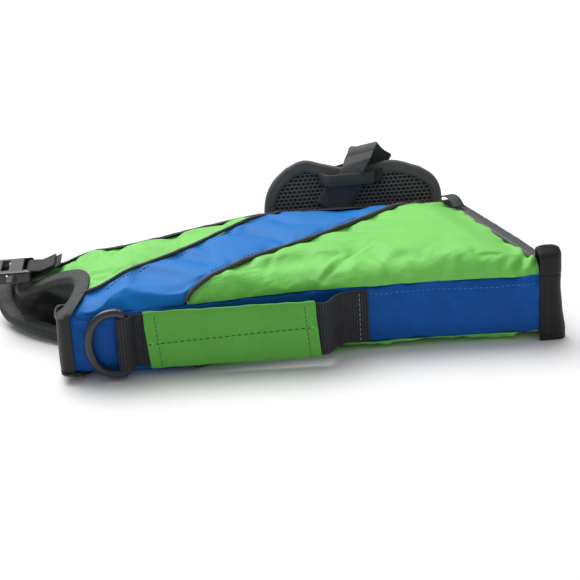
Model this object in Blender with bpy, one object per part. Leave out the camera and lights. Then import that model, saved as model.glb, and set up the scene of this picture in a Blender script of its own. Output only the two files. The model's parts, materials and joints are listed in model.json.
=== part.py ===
"""Life jacket for a dog, lying on its left flank with its buckles open.

Two foam-filled flanks hang on a narrow padded spine. A lead ring and a grab handle sit on the spine,
each flank ends in a neck flap, and a mesh panel with a strap closes under the belly.

Lengths are in millimetres until they are written to a mesh. X runs from neck to tail, Y from the spine
to the belly, and Z up from the floor. On a flank, "plan" means (x, w): w is the distance from the spine
measured over the rounded shoulder of the flank, so it follows the fabric round the bend.
"""
import math

import bmesh
import bpy
import numpy as np
from mathutils import Matrix, Vector

# Driving dimensions
ORIGIN = (145.33, 89.25, 0.0)  # middle of the object's footprint
PADDING = 19.0            # shell to lining in the middle of a flank
PAD_FULL = 38.0           # this far in from the outline a flank has its full padding
PAD_START = 11.0          # and up to here it is only the sewn edge
FABRIC = 1.0              # shell and lining
TAPE = 1.0                # binding tape
GAP = 0.4                 # between neighbours
SEAM = 4.6                # shell to lining where a flank is sewn shut
PIPING_RADIUS = 1.3
PIPING_ROOM = 2.8         # from a piping's middle to the panel beside it
BINDING_WIDTH = 8.0
BINDING_ROOM = 1.5        # binding tape to the fabric it holds
FOAM_ROOM = 1.8           # fabric to foam at the foam's rim
EDGE_ROOM = 1.3           # panel edge to the sewing line
WEBBING = 1.4             # thickness of all webbing

# Spine
SPINE_LOW = 6.9           # hinge line to the left flank
SPINE_HIGH = 47.2         # hinge line to the right flank
SPINE_INSIDE = 6.4        # y of the spine's lining, towards the dog
SPINE_MIDDLE = (SPINE_LOW + SPINE_HIGH) / 2
INSIDE_Y = SPINE_INSIDE + 1.2   # where the flanks' linings begin
BAND_WIDTH = SPINE_HIGH - SPINE_LOW - 0.6
HANDLE_WIDTH = 38.0
NECK_END = 6.0            # x of the spine's padded front end
TAIL_END = 333.0          # x of the spine's padded rear end
TAIL_TIP = 345.4          # x of the tail tape's fold
STRIP_TOP = 66.0          # the tail tape stands up past the flank

# Webbing and buckles
BAR_HALF = 1.2            # half the side of a buckle's webbing bar
LOOP_RADIUS = 1.9 * BAR_HALF + WEBBING / 2
BUCKLE_HEIGHT = 9.0
BUCKLE_WIDTH = 32.0

MATERIALS = {
    "green_ripstop": ((0.20, 0.66, 0.16), 0.55, 0.0),
    "blue_twill": ((0.01, 0.22, 0.60), 0.5, 0.0),
    "lining_fabric": ((0.03, 0.04, 0.045), 0.8, 0.0),
    "binding_tape": ((0.11, 0.115, 0.11), 0.7, 0.0),
    "webbing": ((0.05, 0.055, 0.06), 0.7, 0.0),
    "piping": ((0.12, 0.13, 0.13), 0.45, 0.0),
    "foam": ((0.75, 0.75, 0.72), 0.9, 0.0),
    "spacer_mesh": ((0.05, 0.055, 0.05), 0.8, 0.0),
    "ring_plastic": ((0.035, 0.04, 0.05), 0.4, 0.0),
    "buckle_plastic": ((0.02, 0.022, 0.024), 0.3, 0.0),
}


# ---------------------------------------------------------------- curves and surfaces

def spline(points):
    """A smooth curve through the points, read by a fraction of its length."""
    p = np.array(points, float)
    if len(p) == 2:
        return lambda t: p[0] + (p[1] - p[0]) * t
    ends = np.vstack([2 * p[0] - p[1], p, 2 * p[-1] - p[-2]])
    dense = []
    for a, b, c, d in zip(ends, ends[1:], ends[2:], ends[3:]):
        for s in np.linspace(0, 1, 12, endpoint=False):
            dense.append(0.5 * (2 * b + (c - a) * s + (2 * a - 5 * b + 4 * c - d) * s ** 2
                                + (3 * b - a - 3 * c + d) * s ** 3))
    dense = np.array(dense + [p[-1]])
    run = np.concatenate([[0], np.cumsum(np.linalg.norm(np.diff(dense, axis=0), axis=1))])
    run /= run[-1]
    return lambda t: np.array([np.interp(t, run, dense[:, k]) for k in range(dense.shape[1])])


def chained(*curves):
    """Several curves, one after the other, as one curve."""
    return polyline([curve(t) for curve in curves for t in np.linspace(0, 1, 24)])


def polyline(points):
    """Straight runs through the points, read by a fraction of the length."""
    p = np.array(points, float)
    run = np.concatenate([[0], np.cumsum(np.linalg.norm(np.diff(p, axis=0), axis=1))])
    run /= run[-1]
    return lambda t: np.array([np.interp(t, run, p[:, k]) for k in range(p.shape[1])])


def nearest(curve, point):
    """Fraction of a curve's length that comes closest to a point."""
    fractions = np.linspace(0, 1, 401)
    return fractions[np.argmin([np.linalg.norm(curve(t) - point) for t in fractions])]


def folded_edge(open_x, turn_x, end_x, near_y, far_y):
    """Points in XY of tape folded round an upright edge: near_y, round end_x, back along far_y."""
    middle = (near_y + far_y) / 2
    half = (far_y - near_y) / 2
    bend = [(turn_x + (end_x - turn_x) * math.sin(a), middle - half * math.cos(a))
            for a in np.linspace(0, math.pi, 9)]
    return [(open_x, near_y), *bend, (open_x, far_y)]


TAPE_STEPS = 5            # grid steps across a binding: flat, three round the edge, flat


def tape_section(width, half):
    """Cross-section of tape folded over an edge, as (reach beyond the edge, height) corners."""
    bend = [(half * math.sin(a), half * math.cos(a)) for a in np.linspace(0, math.pi, TAPE_STEPS - 1)]
    return [(-width, half), *bend, (-width, -half)]


def left_normal(curve, t):
    """Unit vector to the left of a plan curve's direction."""
    d = curve(min(t + 0.01, 1.0)) - curve(max(t - 0.01, 0.0))
    return np.array([-d[1], d[0]]) / np.linalg.norm(d)


def denser_ends(t):
    """0 to 1, moving slowest at both ends, so that even steps fall closer together there."""
    return t - 0.11 * math.sin(2 * math.pi * t)


def patch(low, high, start, end, insets):
    """Plan patch between four curves, pulled in from each by its inset.

    low and high run tailwards at v = 0 and 1; start and end run from low to high at u = 0 and 1.
    """
    low_in, high_in, start_in, end_in = insets

    def from_low(u):
        return low_in * left_normal(low, u)

    def from_high(u):
        return -high_in * left_normal(high, u)

    def from_start(v):
        return -start_in * left_normal(start, v)

    def from_end(v):
        return end_in * left_normal(end, v)

    def low_side(u):
        return low(u) + from_low(u) + (1 - u) * from_start(0) + u * from_end(0)

    def high_side(u):
        return high(u) + from_high(u) + (1 - u) * from_start(1) + u * from_end(1)

    def start_side(v):
        return start(v) + from_start(v) + (1 - v) * from_low(0) + v * from_high(0)

    def end_side(v):
        return end(v) + from_end(v) + (1 - v) * from_low(1) + v * from_high(1)

    def point(along, across):
        u, v = denser_ends(along), denser_ends(across)
        ruled = (1 - v) * low_side(u) + v * high_side(u) + (1 - u) * start_side(v) + u * end_side(v)
        corners = ((1 - u) * (1 - v) * low_side(0) + u * (1 - v) * low_side(1)
                   + (1 - u) * v * high_side(0) + u * v * high_side(1))
        return ruled - corners
    return point


def offset(surface, distance):
    """The surface moved along its own normal, taken towards +Z for a level surface."""
    step = 0.004

    def moved(u, v):
        along = surface(min(u + step, 1), v) - surface(max(u - step, 0), v)
        across = surface(u, min(v + step, 1)) - surface(u, max(v - step, 0))
        normal = np.cross(along, across)
        return surface(u, v) + normal / np.linalg.norm(normal) * distance
    return moved


def ribbon(points, across, width):
    """Surface of a strap whose middle line has these points, at equal steps of u."""
    line = np.array(points, float)
    steps = np.arange(len(line))

    def point(u, v):
        on_line = np.array([np.interp(u * steps[-1], steps, line[:, k]) for k in range(3)])
        return on_line + (v - 0.5) * width * np.array(across)
    return point


# ---------------------------------------------------------------- making objects

for old in list(bpy.data.objects):
    bpy.data.objects.remove(old)

parts = bpy.data.collections.new("dog_life_jacket")
cutters = bpy.data.collections.new("cutters")
bpy.context.scene.collection.children.link(parts)
bpy.context.scene.collection.children.link(cutters)

materials = {}
for material_name, (colour, roughness, metallic) in MATERIALS.items():
    material = bpy.data.materials.new(material_name)
    material.use_nodes = True
    shader = material.node_tree.nodes["Principled BSDF"]
    shader.inputs["Base Color"].default_value = (*colour, 1)
    shader.inputs["Roughness"].default_value = roughness
    shader.inputs["Metallic"].default_value = metallic
    materials[material_name] = material


def metres(point):
    """A design point in metres, measured from the object's origin."""
    return Vector((np.array(point, float) - ORIGIN) / 1000)


def add(name, bm, material, pivot=ORIGIN, to=parts):
    """Turn a bmesh made in design millimetres into an object whose origin is the pivot."""
    bmesh.ops.recalc_face_normals(bm, faces=bm.faces)
    if bm.calc_volume(signed=True) < 0:
        bmesh.ops.reverse_faces(bm, faces=bm.faces)
    mesh = bpy.data.meshes.new(name)
    bm.to_mesh(mesh)
    bm.free()
    mesh.transform(Matrix.Scale(0.001, 4) @ Matrix.Translation(-Vector(pivot)))
    obj = bpy.data.objects.new(name, mesh)
    obj.location = metres(pivot)
    to.objects.link(obj)
    if material:
        mesh.materials.append(materials[material])
        mesh.shade_smooth()
        mesh.set_sharp_from_angle(angle=math.radians(40))
    return obj


def layer(name, outer, inner, counts, material, pivot=ORIGIN):
    """Closed sheet between two surfaces: one grid, and its copy pulled out of it."""
    bm = bmesh.new()
    bmesh.ops.create_grid(bm, x_segments=counts[0], y_segments=counts[1], size=0.5)
    place = {v: (v.co.x + 0.5, v.co.y + 0.5) for v in bm.verts}
    copied = bmesh.ops.extrude_face_region(bm, geom=list(bm.faces), use_keep_orig=True)
    for item in copied["geom"]:
        if isinstance(item, bmesh.types.BMVert):
            item.co = outer(item.co.x + 0.5, item.co.y + 0.5)
    for v, (s, t) in place.items():
        v.co = inner(s, t)
    return add(name, bm, material, pivot)


def strap(name, points, across, width, material, pivot=ORIGIN, thickness=WEBBING):
    """Flat webbing along a line of points, half its thickness to each side of it."""
    middle = ribbon(points, across, width)
    half = thickness / 2
    return layer(name, offset(middle, half), offset(middle, -half), (len(points) - 1, 1), material,
                 pivot)


def block(size, centre, rounding=0.0, segments=2):
    """A box as a bmesh, with its edges rounded."""
    bm = bmesh.new()
    bmesh.ops.create_cube(bm, size=1)
    bmesh.ops.scale(bm, vec=size, verts=bm.verts)
    bmesh.ops.translate(bm, vec=centre, verts=bm.verts)
    if rounding:
        bmesh.ops.bevel(bm, geom=list(bm.edges), offset=rounding, segments=segments,
                        affect="EDGES", profile=0.5)
    return bm


def tube(name, line, radius, material, steps, sides=6):
    """A round cord along a curve, closed by a flat face at each end."""
    bm = bmesh.new()
    rings = []
    for k in range(steps + 1):
        t = k / steps
        along = Vector(line(min(t + 0.01, 1)) - line(max(t - 0.01, 0))).normalized()
        side = along.cross((0, 0, 1)).normalized()
        top = side.cross(along)
        turns = [2 * math.pi * n / sides for n in range(sides)]
        rings.append([bm.verts.new(Vector(line(t)) + radius * (side * math.cos(a) + top * math.sin(a)))
                      for a in turns])
    for ring, following in zip(rings, rings[1:]):
        for n in range(sides):
            m = (n + 1) % sides
            bm.faces.new((ring[n], ring[m], following[m], following[n]))
    bm.faces.new(rings[0])
    bm.faces.new(rings[-1])
    return add(name, bm, material)


def cut(obj, bm, name):
    """Take a bmesh shape, in design millimetres, out of an object."""
    tool = add(name, bm, None, to=cutters)
    tool.hide_render = True
    tool.display_type = "WIRE"
    boolean = obj.modifiers.new(name, "BOOLEAN")
    boolean.operation = "DIFFERENCE"
    boolean.object = tool


# ---------------------------------------------------------------- flanks

def smooth(value):
    """0 to 1 with level ends."""
    s = min(max(value, 0.0), 1.0)
    return s * s * (3 - 2 * s)


# Spine side, belly side, front and rear end of the foam in the body of a flank, in plan.
BODY_FOAM = ([(58, 17), (301, 17)], [(150, 129), (265, 127)],
             [(58, 17), (80, 46), (112, 82), (150, 129)], [(301, 17), (284, 78), (265, 127)])


class Flank:
    """One side of the jacket: its outline in plan and the heights of its shell and lining."""

    def __init__(self, side, hinge, flat, up, bend, seam_rise, neck, tip, armhole, front_seam,
                 flap_foam):
        self.side = side
        self.hinge = hinge            # height of the fold beside the spine
        self.flat = flat              # height of the shell's middle
        self.up = up                  # +1 where the shell faces up, -1 where it faces the floor
        self.bend = bend              # radius of the shoulder beside the spine
        self.seam_rise = seam_rise    # how far the sewn edge lies inside the flat of the shell
        self.neck = spline(neck)
        self.tip = spline(tip)
        self.armhole = spline(armhole)
        self.belly = spline([(168, 160), (230, 159), (293, 157)])
        self.rear = spline([(332, 0), (332.5, 9), (332, 20), (316, 78), (293, 157)])
        self.front_seam = spline(front_seam)
        self.flap_foam = flap_foam    # spine side, belly side, front and rear end of its foam
        self.rear_seam = spline([(88, 0), (98, 5), (113, 14), (135, 34), (172, 62), (211, 97),
                                 (254, 139), (272, 158)])
        self.to_seam = nearest(self.neck, self.front_seam(0))
        self.past_spine = nearest(self.neck, self.neck(0) + (10, 9.2))
        outline = chained(self.neck, self.tip, self.armhole, self.belly)
        rear_points = [self.rear(t) for t in np.linspace(1, 0, 12)]
        self.outline = np.array([outline(t) for t in np.linspace(0, 1, 90)] + rear_points[1:])

    def to_w(self, y):
        """Distance over the fabric for a point y beyond the spine."""
        if y < self.bend:
            return self.bend * math.acos(1 - max(y, 0) / self.bend)
        return y + self.bend * (math.pi / 2 - 1)

    def from_w(self, w):
        """(y, share of the full height) at a distance over the fabric."""
        if w < self.bend * math.pi / 2:
            return self.bend * (1 - math.cos(w / self.bend)), math.sin(w / self.bend)
        return w - self.bend * (math.pi / 2 - 1), 1.0

    def over(self, curve):
        """A curve in (x, y) measured over the fabric instead."""
        return lambda t: np.array([curve(t)[0], self.to_w(curve(t)[1])])

    def closeness(self, x, y):
        """1 within a binding's width of the outline, falling to 0 in the padded middle."""
        a, b = self.outline[:-1], self.outline[1:]
        run = b - a
        share = ((np.array([x, y]) - a) * run).sum(1) / (run * run).sum(1)
        on_outline = a + run * np.clip(share, 0, 1)[:, None]
        away = np.linalg.norm(on_outline - (x, y), axis=1).min()
        return smooth((PAD_FULL - away) / (PAD_FULL - PAD_START))

    def lift(self, x, y):
        """How far the neck flap leaves the flank's plane, upwards positive."""
        if self.side == "right":
            return -26 * smooth((30 - x) / 72)
        return 3 * smooth((24 - x) / 62) + 13 * smooth((y - 92) / 40) * smooth((60 - x) / 50)

    def shell_z(self, x, y):
        return self.flat - self.up * self.seam_rise * self.closeness(x, y) + self.lift(x, y)

    def lining_z(self, x, y):
        thick = SEAM + (PADDING - SEAM) * (1 - self.closeness(x, y))
        return self.shell_z(x, y) - self.up * thick

    def shell(self, plan):
        """Outer surface over a plan patch given in (x, w)."""
        def point(u, v):
            x, w = plan(u, v)
            y, share = self.from_w(0.5 * (w + math.hypot(w, 1.0)))    # never quite back to 0
            return np.array([x, y, self.hinge + (self.shell_z(x, y) - self.hinge) * share])
        return point

    def inside(self, plan, depth):
        """Surface at a depth inside the lining over a plan patch given in (x, y)."""
        def point(u, v):
            x, y = plan(u, v)
            return np.array([x, y, self.lining_z(x, y) + self.up * depth])
        return point

    def panel(self, name, plan, counts, material):
        surface = self.shell(plan)
        layer(f"{self.side}_{name}", surface, offset(surface, -self.up * FABRIC), counts, material)

    def lining(self, name, plan, counts):
        layer(f"{self.side}_{name}", self.inside(plan, FABRIC), self.inside(plan, 0), counts,
              "lining_fabric")

    def foam(self, name, plan, inset, counts):
        """Slab of even thickness, as thick as the room at its rim allows."""
        rim = smooth((PAD_FULL - inset) / (PAD_FULL - PAD_START))
        near = self.seam_rise * rim + max(FABRIC + FOAM_ROOM, 2 * PIPING_RADIUS + 0.8)
        far = self.seam_rise * rim + SEAM + (PADDING - SEAM) * (1 - rim) - FABRIC - FOAM_ROOM

        def face(depth):
            def point(u, v):
                x, y = plan(u, v)
                return np.array([x, y, self.flat - self.up * depth + self.lift(x, y)])
            return point
        layer(f"{self.side}_{name}", face(near), face(far), counts, "foam")

    def piping(self, name, seam, steps):
        """Round piping lying in a seam between two panels."""
        over = self.over(seam)

        def line(t):
            x, w = over(0.012 + 0.97 * t)
            y, share = self.from_w(max(w, PIPING_RADIUS + 1.2))
            z = self.hinge + (self.shell_z(x, y) - self.hinge) * share
            return np.array([x, y, z - self.up * (PIPING_RADIUS + 0.1)])
        tube(f"{self.side}_{name}", line, PIPING_RADIUS, "piping", steps)

    def binding(self, name, edge, steps, lead=0.0, tail=0.0):
        """Tape folded over a stretch of the sewn edge. The edge has the flank on its right."""
        def fold(half):
            section = tape_section(BINDING_WIDTH, half)

            def point(u, v):
                x, y = edge(lead + (1 - lead - tail) * u)
                outwards = left_normal(edge, lead + (1 - lead - tail) * u)
                reach, height = section[round(v * TAPE_STEPS)]
                px, py = np.array([x, y]) + outwards * reach
                sx, sy = np.array([x, y]) + outwards * min(reach, 0)
                middle = self.shell_z(sx, sy) - self.up * SEAM / 2
                return np.array([px, py, middle + self.up * height])
            return point
        half = SEAM / 2 + BINDING_ROOM
        layer(f"{self.side}_{name}", fold(half + TAPE), fold(half), (steps, TAPE_STEPS),
              "binding_tape")

    def tail_strip(self, low, high):
        """Tape that closes the tail end beside the spine."""
        path = folded_edge(TAIL_END + 0.8, TAIL_TIP - 4, TAIL_TIP, -0.9, 9.5)
        middle = (low + high) / 2
        strap(f"{self.side}_tail_strip", [(x, y, middle) for x, y in path], (0, 0, 1), high - low,
              "binding_tape", thickness=TAPE)

    def build(self):
        room = EDGE_ROOM
        neck_low = polyline([self.neck(t) for t in np.linspace(0, self.to_seam, 9)])
        neck_inside = polyline([self.neck(t) for t in np.linspace(self.past_spine, self.to_seam, 7)])
        neck_high = polyline([self.neck(t) for t in np.linspace(1, self.to_seam, 30)])
        rear_inside = polyline([self.rear(t) for t in np.linspace(0.05, 1, 30)])
        belly_front = polyline([self.belly(t) for t in np.linspace(0, 0.84, 9)])
        over = self.over

        shoulder = patch(over(neck_high), over(self.armhole), over(self.tip), over(self.front_seam),
                         (room, room, room, PIPING_ROOM))
        stripe = patch(over(spline([(2, 0), (88, 0)])), over(belly_front),
                       over(chained(neck_low, self.front_seam)), over(self.rear_seam),
                       (0, room, PIPING_ROOM, PIPING_ROOM))
        rear = patch(over(spline([(88, 0), (332, 0)])), over(spline([(272, 158), (293, 157)])),
                     over(self.rear_seam), over(self.rear), (0, room, PIPING_ROOM, room))
        self.panel("shoulder_panel", shoulder, (14, 8), "green_ripstop")
        self.panel("stripe_panel", stripe, (6, 18), "blue_twill")
        self.panel("rear_panel", rear, (12, 14), "green_ripstop")

        front = chained(neck_inside, self.front_seam)
        inside_start = front(0)[0]
        body = patch(spline([(inside_start, INSIDE_Y), (332.4, INSIDE_Y)]), self.belly,
                     front, rear_inside, (0, room, room, room))
        flap = patch(neck_high, self.armhole, self.tip, self.front_seam, (room, room, room, 1.0))
        self.lining("body_lining", body, (14, 11))
        self.lining("neck_lining", flap, (14, 8))

        for name, sides, inset, counts in (("foam", BODY_FOAM, 29.0, (8, 6)),
                                           ("neck_foam", self.flap_foam, 20.0, (8, 3))):
            self.foam(name, patch(*[spline(side) for side in sides], (0, 0, 0, 0)), inset, counts)

        self.piping("front_piping", self.front_seam, 14)
        self.piping("rear_piping", self.rear_seam, 16)
        front_edge = chained(self.neck, self.tip)
        self.binding("neck_binding", front_edge, 22, lead=self.past_spine * 1.1, tail=0.08)
        self.binding("armhole_binding", self.armhole, 13, lead=0.01, tail=0.02)
        self.binding("belly_binding", self.belly, 4, lead=0.03, tail=0.05)
        self.binding("rear_binding", lambda t: self.rear(1 - t), 9, lead=0.05, tail=0.12)


left = Flank("left", hinge=SPINE_LOW, flat=0.0, up=-1, bend=8.0, seam_rise=2.8,
             neck=[(2, 0), (11, 8), (16, 18), (14, 36), (6, 48), (-6, 57), (-23, 70), (-38, 87),
                   (-48, 105), (-51, 120)],
             tip=[(-51, 120), (-51, 130), (-46, 138), (-38, 142), (-28, 142)],
             armhole=[(-28, 142), (-8, 139), (20, 129), (45, 122), (75, 125), (112, 142),
                      (145, 157), (168, 160)],
             front_seam=[(16, 18), (44, 28), (71, 46), (104, 76), (145, 126), (168, 160)],
             flap_foam=([(-25, 105), (2, 88), (24, 62), (38, 44)],
                        [(-22, 116), (14, 106), (45, 98), (78, 98), (104, 102)],
                        [(-25, 105), (-22, 116)],
                        [(38, 44), (62, 57), (88, 82), (104, 102)]))
right = Flank("right", hinge=SPINE_HIGH, flat=63.0, up=1, bend=14.0, seam_rise=7.0,
              neck=[(2, 0), (8, 8), (12, 16), (15, 31), (13, 46), (6, 59), (-7, 72), (-26, 85)],
              tip=[(-26, 85), (-32, 90), (-34, 99), (-32, 108), (-25, 114)],
              armhole=[(-25, 114), (-10, 113), (13, 106), (35, 106), (64, 118), (103, 139),
                       (145, 158), (168, 160)],
              front_seam=[(12, 16), (36, 20), (62, 36), (89, 61), (122, 99), (148, 130),
                          (168, 160)],
              flap_foam=([(16, 84), (34, 66), (44, 44)],
                         [(16, 88), (38, 86), (66, 94), (96, 110)],
                         [(16, 84), (16, 88)],
                         [(44, 44), (70, 64), (92, 88), (96, 110)]))
left.build()
right.build()
left.tail_strip(0.2, 5.4)
right.tail_strip(SPINE_HIGH + 0.6, STRIP_TOP)


# ---------------------------------------------------------------- spine

def spine_y(x):
    """The spine's outer face: it bows towards the neck end and a little at the tail."""
    return -12 * (1 - smooth((x - 50) / 130)) - 4 * smooth((x - 230) / 90)


def spine_sheet(name, ends, near, far, height, steps, material):
    """Upright slab of the spine. near and far give y at x, before and behind it."""
    low, high = SPINE_MIDDLE - height / 2, SPINE_MIDDLE + height / 2

    def face(depth):
        def point(u, v):
            x = ends[0] + (ends[1] - ends[0]) * u
            return np.array([x, depth(x), low + (high - low) * v])
        return point
    return layer(name, face(near), face(far), (steps, 1), material)


FRONT_PANEL_END = 57.0
COVER_FACE = 0.8          # the spine's cloth stands this far outside spine_y

spine_sheet("spine_front_panel", (NECK_END, FRONT_PANEL_END), lambda x: spine_y(x) - COVER_FACE,
            lambda x: spine_y(x) + 0.2, BAND_WIDTH, 4, "blue_twill")
spine_sheet("spine_band", (FRONT_PANEL_END + GAP, TAIL_END), lambda x: spine_y(x) - COVER_FACE,
            lambda x: spine_y(x) + 0.2, BAND_WIDTH, 22, "blue_twill")
spine_sheet("spine_foam", (NECK_END + 1, TAIL_END - 1), lambda x: spine_y(x) + 0.6,
            lambda x: SPINE_INSIDE - FABRIC - GAP, BAND_WIDTH - 2, 22, "foam")
spine_sheet("spine_lining", (NECK_END, TAIL_END), lambda x: SPINE_INSIDE - FABRIC,
            lambda x: SPINE_INSIDE, BAND_WIDTH, 4, "lining_fabric")


def spine_tape(name, path, low, high):
    """Tape folded round one end of the spine."""
    strap(name, [(x, y, (low + high) / 2) for x, y in path], (0, 0, 1), high - low, "binding_tape",
          thickness=TAPE)


TAPE_MIDDLE = COVER_FACE + GAP + TAPE / 2
spine_tape("spine_neck_binding",
           folded_edge(NECK_END + 5, NECK_END, 0.5, spine_y(0) - TAPE_MIDDLE,
                       SPINE_INSIDE + GAP + TAPE / 2), SPINE_LOW + 0.3, SPINE_HIGH - 0.2)
spine_tape("spine_tail_strip",
           folded_edge(TAIL_END + 0.8, TAIL_TIP - 4, TAIL_TIP, spine_y(TAIL_END) - TAPE_MIDDLE,
                       SPINE_INSIDE + GAP + TAPE / 2), SPINE_LOW + 2.5, SPINE_HIGH - 2)

# ---------------------------------------------------------------- lead ring

RING_WIRE = 2.75          # radius
RING_BAR_X = 45.0
RING_APEX_X = 21.75
RING_HALF = 22.0          # bar's half length
ON_SPINE = COVER_FACE + GAP + WEBBING / 2
RING_Y = spine_y(RING_BAR_X) - ON_SPINE - WEBBING / 2 - GAP - RING_WIRE
RING_PIVOT = (RING_BAR_X, RING_Y, SPINE_MIDDLE)


def lead_ring():
    """Moulded D: a straight bar and a half-oval bow, one round rod."""
    corner = 4.0
    bow = [(RING_BAR_X - corner - (RING_BAR_X - corner - RING_APEX_X) * math.sin(a) ** 0.8,
            -RING_HALF * math.cos(a)) for a in np.linspace(0.001, math.pi - 0.001, 17)]
    line = bow + [(RING_BAR_X - 1, RING_HALF - 0.8), (RING_BAR_X, RING_HALF - 3)]
    line += [(RING_BAR_X, -RING_HALF + 3), (RING_BAR_X - 1, -RING_HALF + 0.8)]
    curve = bpy.data.curves.new("d_ring", "CURVE")
    curve.dimensions = "3D"
    curve.bevel_depth = RING_WIRE / 1000
    curve.bevel_resolution = 2
    rod = curve.splines.new("POLY")
    rod.points.add(len(line) - 1)
    for point, (x, z) in zip(rod.points, line):
        point.co = ((x - RING_BAR_X) / 1000, 0, z / 1000, 1)
    rod.use_cyclic_u = True
    curve.materials.append(materials["ring_plastic"])
    obj = bpy.data.objects.new("d_ring", curve)
    obj.location = metres(RING_PIVOT)
    parts.objects.link(obj)


lead_ring()


def looped(lead, bar, back, radius):
    """Points of webbing that goes out, round a bar and back over itself, in its own plane.

    Points are (run, height). The bar lies at the far end, the webbing passes below it first.
    """
    side = 1 if bar[0] > lead[0][0] else -1
    turn = [(bar[0] + side * radius * math.sin(a), bar[1] - radius * math.cos(a))
            for a in np.linspace(0, math.pi, 7)]
    return [*lead, *turn, *back]


ring_loop = looped(
    lead=[(54, 0)], bar=(RING_BAR_X, WEBBING / 2 + GAP + RING_WIRE),
    back=[(50, 6.6), (54, WEBBING + GAP + 0.2)], radius=RING_WIRE + GAP + WEBBING / 2)
WEB_Y = spine_y(RING_BAR_X) - ON_SPINE
strap("d_ring_webbing", [(x, WEB_Y - height, SPINE_MIDDLE) for x, height in ring_loop], (0, 0, 1),
      HANDLE_WIDTH, "webbing")

# ---------------------------------------------------------------- grab handle

HANDLE_START = 60.6       # x where the free webbing leaves its front stitching
HANDLE_END = 178.0
HANDLE_PIVOT = (58.0, spine_y(58) - ON_SPINE, SPINE_MIDDLE)
COVER_ENDS = (61.6, 176.0)


def handle_y(x):
    """The webbing runs straight, like a string to the spine's bow, and stands off at the rear."""
    return HANDLE_PIVOT[1] - 2.0 - 3.6 * (x - HANDLE_START) / (HANDLE_END - HANDLE_START)


def along_handle(x):
    return np.array([x, handle_y(x), SPINE_MIDDLE])


def handle_cover(half_thick, half_wide):
    """Sleeve round the webbing with its slit at the back, 5 flat sides."""
    slit = 0.4
    corners = [(half_thick, -slit), (half_thick, -half_wide), (-half_thick, -half_wide),
               (-half_thick, half_wide), (half_thick, half_wide), (half_thick, slit)]

    def point(u, v):
        index = min(int(v * 5 + 0.001), 4)
        share = v * 5 - index
        dy, dz = (1 - share) * np.array(corners[index]) + share * np.array(corners[index + 1])
        x = COVER_ENDS[0] + (COVER_ENDS[1] - COVER_ENDS[0]) * u
        return along_handle(x) + (0, dy, dz)
    return point


strap("handle_webbing", [along_handle(x) for x in np.linspace(HANDLE_START, HANDLE_END, 5)],
      (0, 0, 1), HANDLE_WIDTH, "webbing", pivot=HANDLE_PIVOT)
layer("handle_cover", handle_cover(2.3, HANDLE_WIDTH / 2 + 1.6),
      handle_cover(1.2, HANDLE_WIDTH / 2 + 0.5), (4, 5), "green_ripstop", pivot=HANDLE_PIVOT)

front_anchor = [(54.8, HANDLE_PIVOT[1]), (59.6, HANDLE_PIVOT[1])]
rear_anchor = [(212, spine_y(212) - ON_SPINE), (192, spine_y(192) - ON_SPINE),
               (188, spine_y(188) - ON_SPINE - 3), (182, -12)]
for end_name, anchor in (("front", front_anchor), ("rear", rear_anchor)):
    strap(f"handle_{end_name}_anchor", [(x, y, SPINE_MIDDLE) for x, y in anchor], (0, 0, 1),
          HANDLE_WIDTH, "webbing")

# ---------------------------------------------------------------- side-release buckles
# Both halves are drawn with the webbing bar on the local Y axis and the body towards local -X.

SLOT_END = -5.6           # the webbing's slot behind the bar
SLOT_HALF = 13.4


def leave_bar(cuts):
    """Cuts that leave a bar for the webbing at the near end of a buckle half."""
    reach = BAR_HALF + 3
    cuts.append(block((-SLOT_END - BAR_HALF, 2 * SLOT_HALF, 30), ((SLOT_END - BAR_HALF) / 2, 0, 0)))
    for side in (-1, 1):
        cuts.append(block((reach - SLOT_END, 2 * SLOT_HALF, 10),
                          ((reach + SLOT_END) / 2, 0, side * (BAR_HALF + 5))))


def placed(bm, turn, pivot):
    bmesh.ops.transform(bm, matrix=Matrix.Translation(pivot) @ turn.to_4x4(), verts=bm.verts)
    return bm


def buckle_half(name, body, cuts, turn, pivot):
    obj = add(name, placed(body, turn, pivot), "buckle_plastic", pivot)
    for number, shape in enumerate(cuts):
        cut(obj, placed(shape, turn, pivot), f"{name}_cut_{number}")
    return obj


def female_half(name, turn, pivot):
    """Open box: a socket from the far end, windows above and below, and one on each side."""
    length = 26.0
    far = BAR_HALF - length
    body = block((length, BUCKLE_WIDTH, BUCKLE_HEIGHT), (BAR_HALF - length / 2, 0, 0), 1.6)
    cuts = [block((17.5, 27, 5.4), (far + 17.5 / 2 - 0.5, 0, 0)),
            block((6, 22, 20), (far + 6.5, 0, 0)),
            block((8, 50, 5.4), (far + 11.5, 0, 0))]
    leave_bar(cuts)
    buckle_half(name, body, cuts, turn, pivot)


ARM_ROOT = (-12.4, 10.2)   # local x and y of a latch arm's root
ARM_LENGTH = 16.0


def male_half(name, turn, pivot):
    """A frame with a guide prong down the middle, and two springy arms with barbed heads."""
    body = block((13.4, BUCKLE_WIDTH, 7.0), (BAR_HALF - 6.7, 0, 0), 1.4)
    cuts = []
    leave_bar(cuts)
    obj = buckle_half(name, body, cuts, turn, pivot)
    prong = add(f"{name}_prong", placed(block((17, 4, 3.6), (-19.0, 0, 0), 0.8), turn, pivot), None,
                to=cutters)
    prong.hide_render = True
    prong.display_type = "WIRE"
    joined = obj.modifiers.new("prong", "BOOLEAN")
    joined.operation = "UNION"
    joined.object = prong
    for side_name, side in (("a", 1), ("b", -1)):
        arm(f"{name}_arm_{side_name}", side, turn, pivot)


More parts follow.
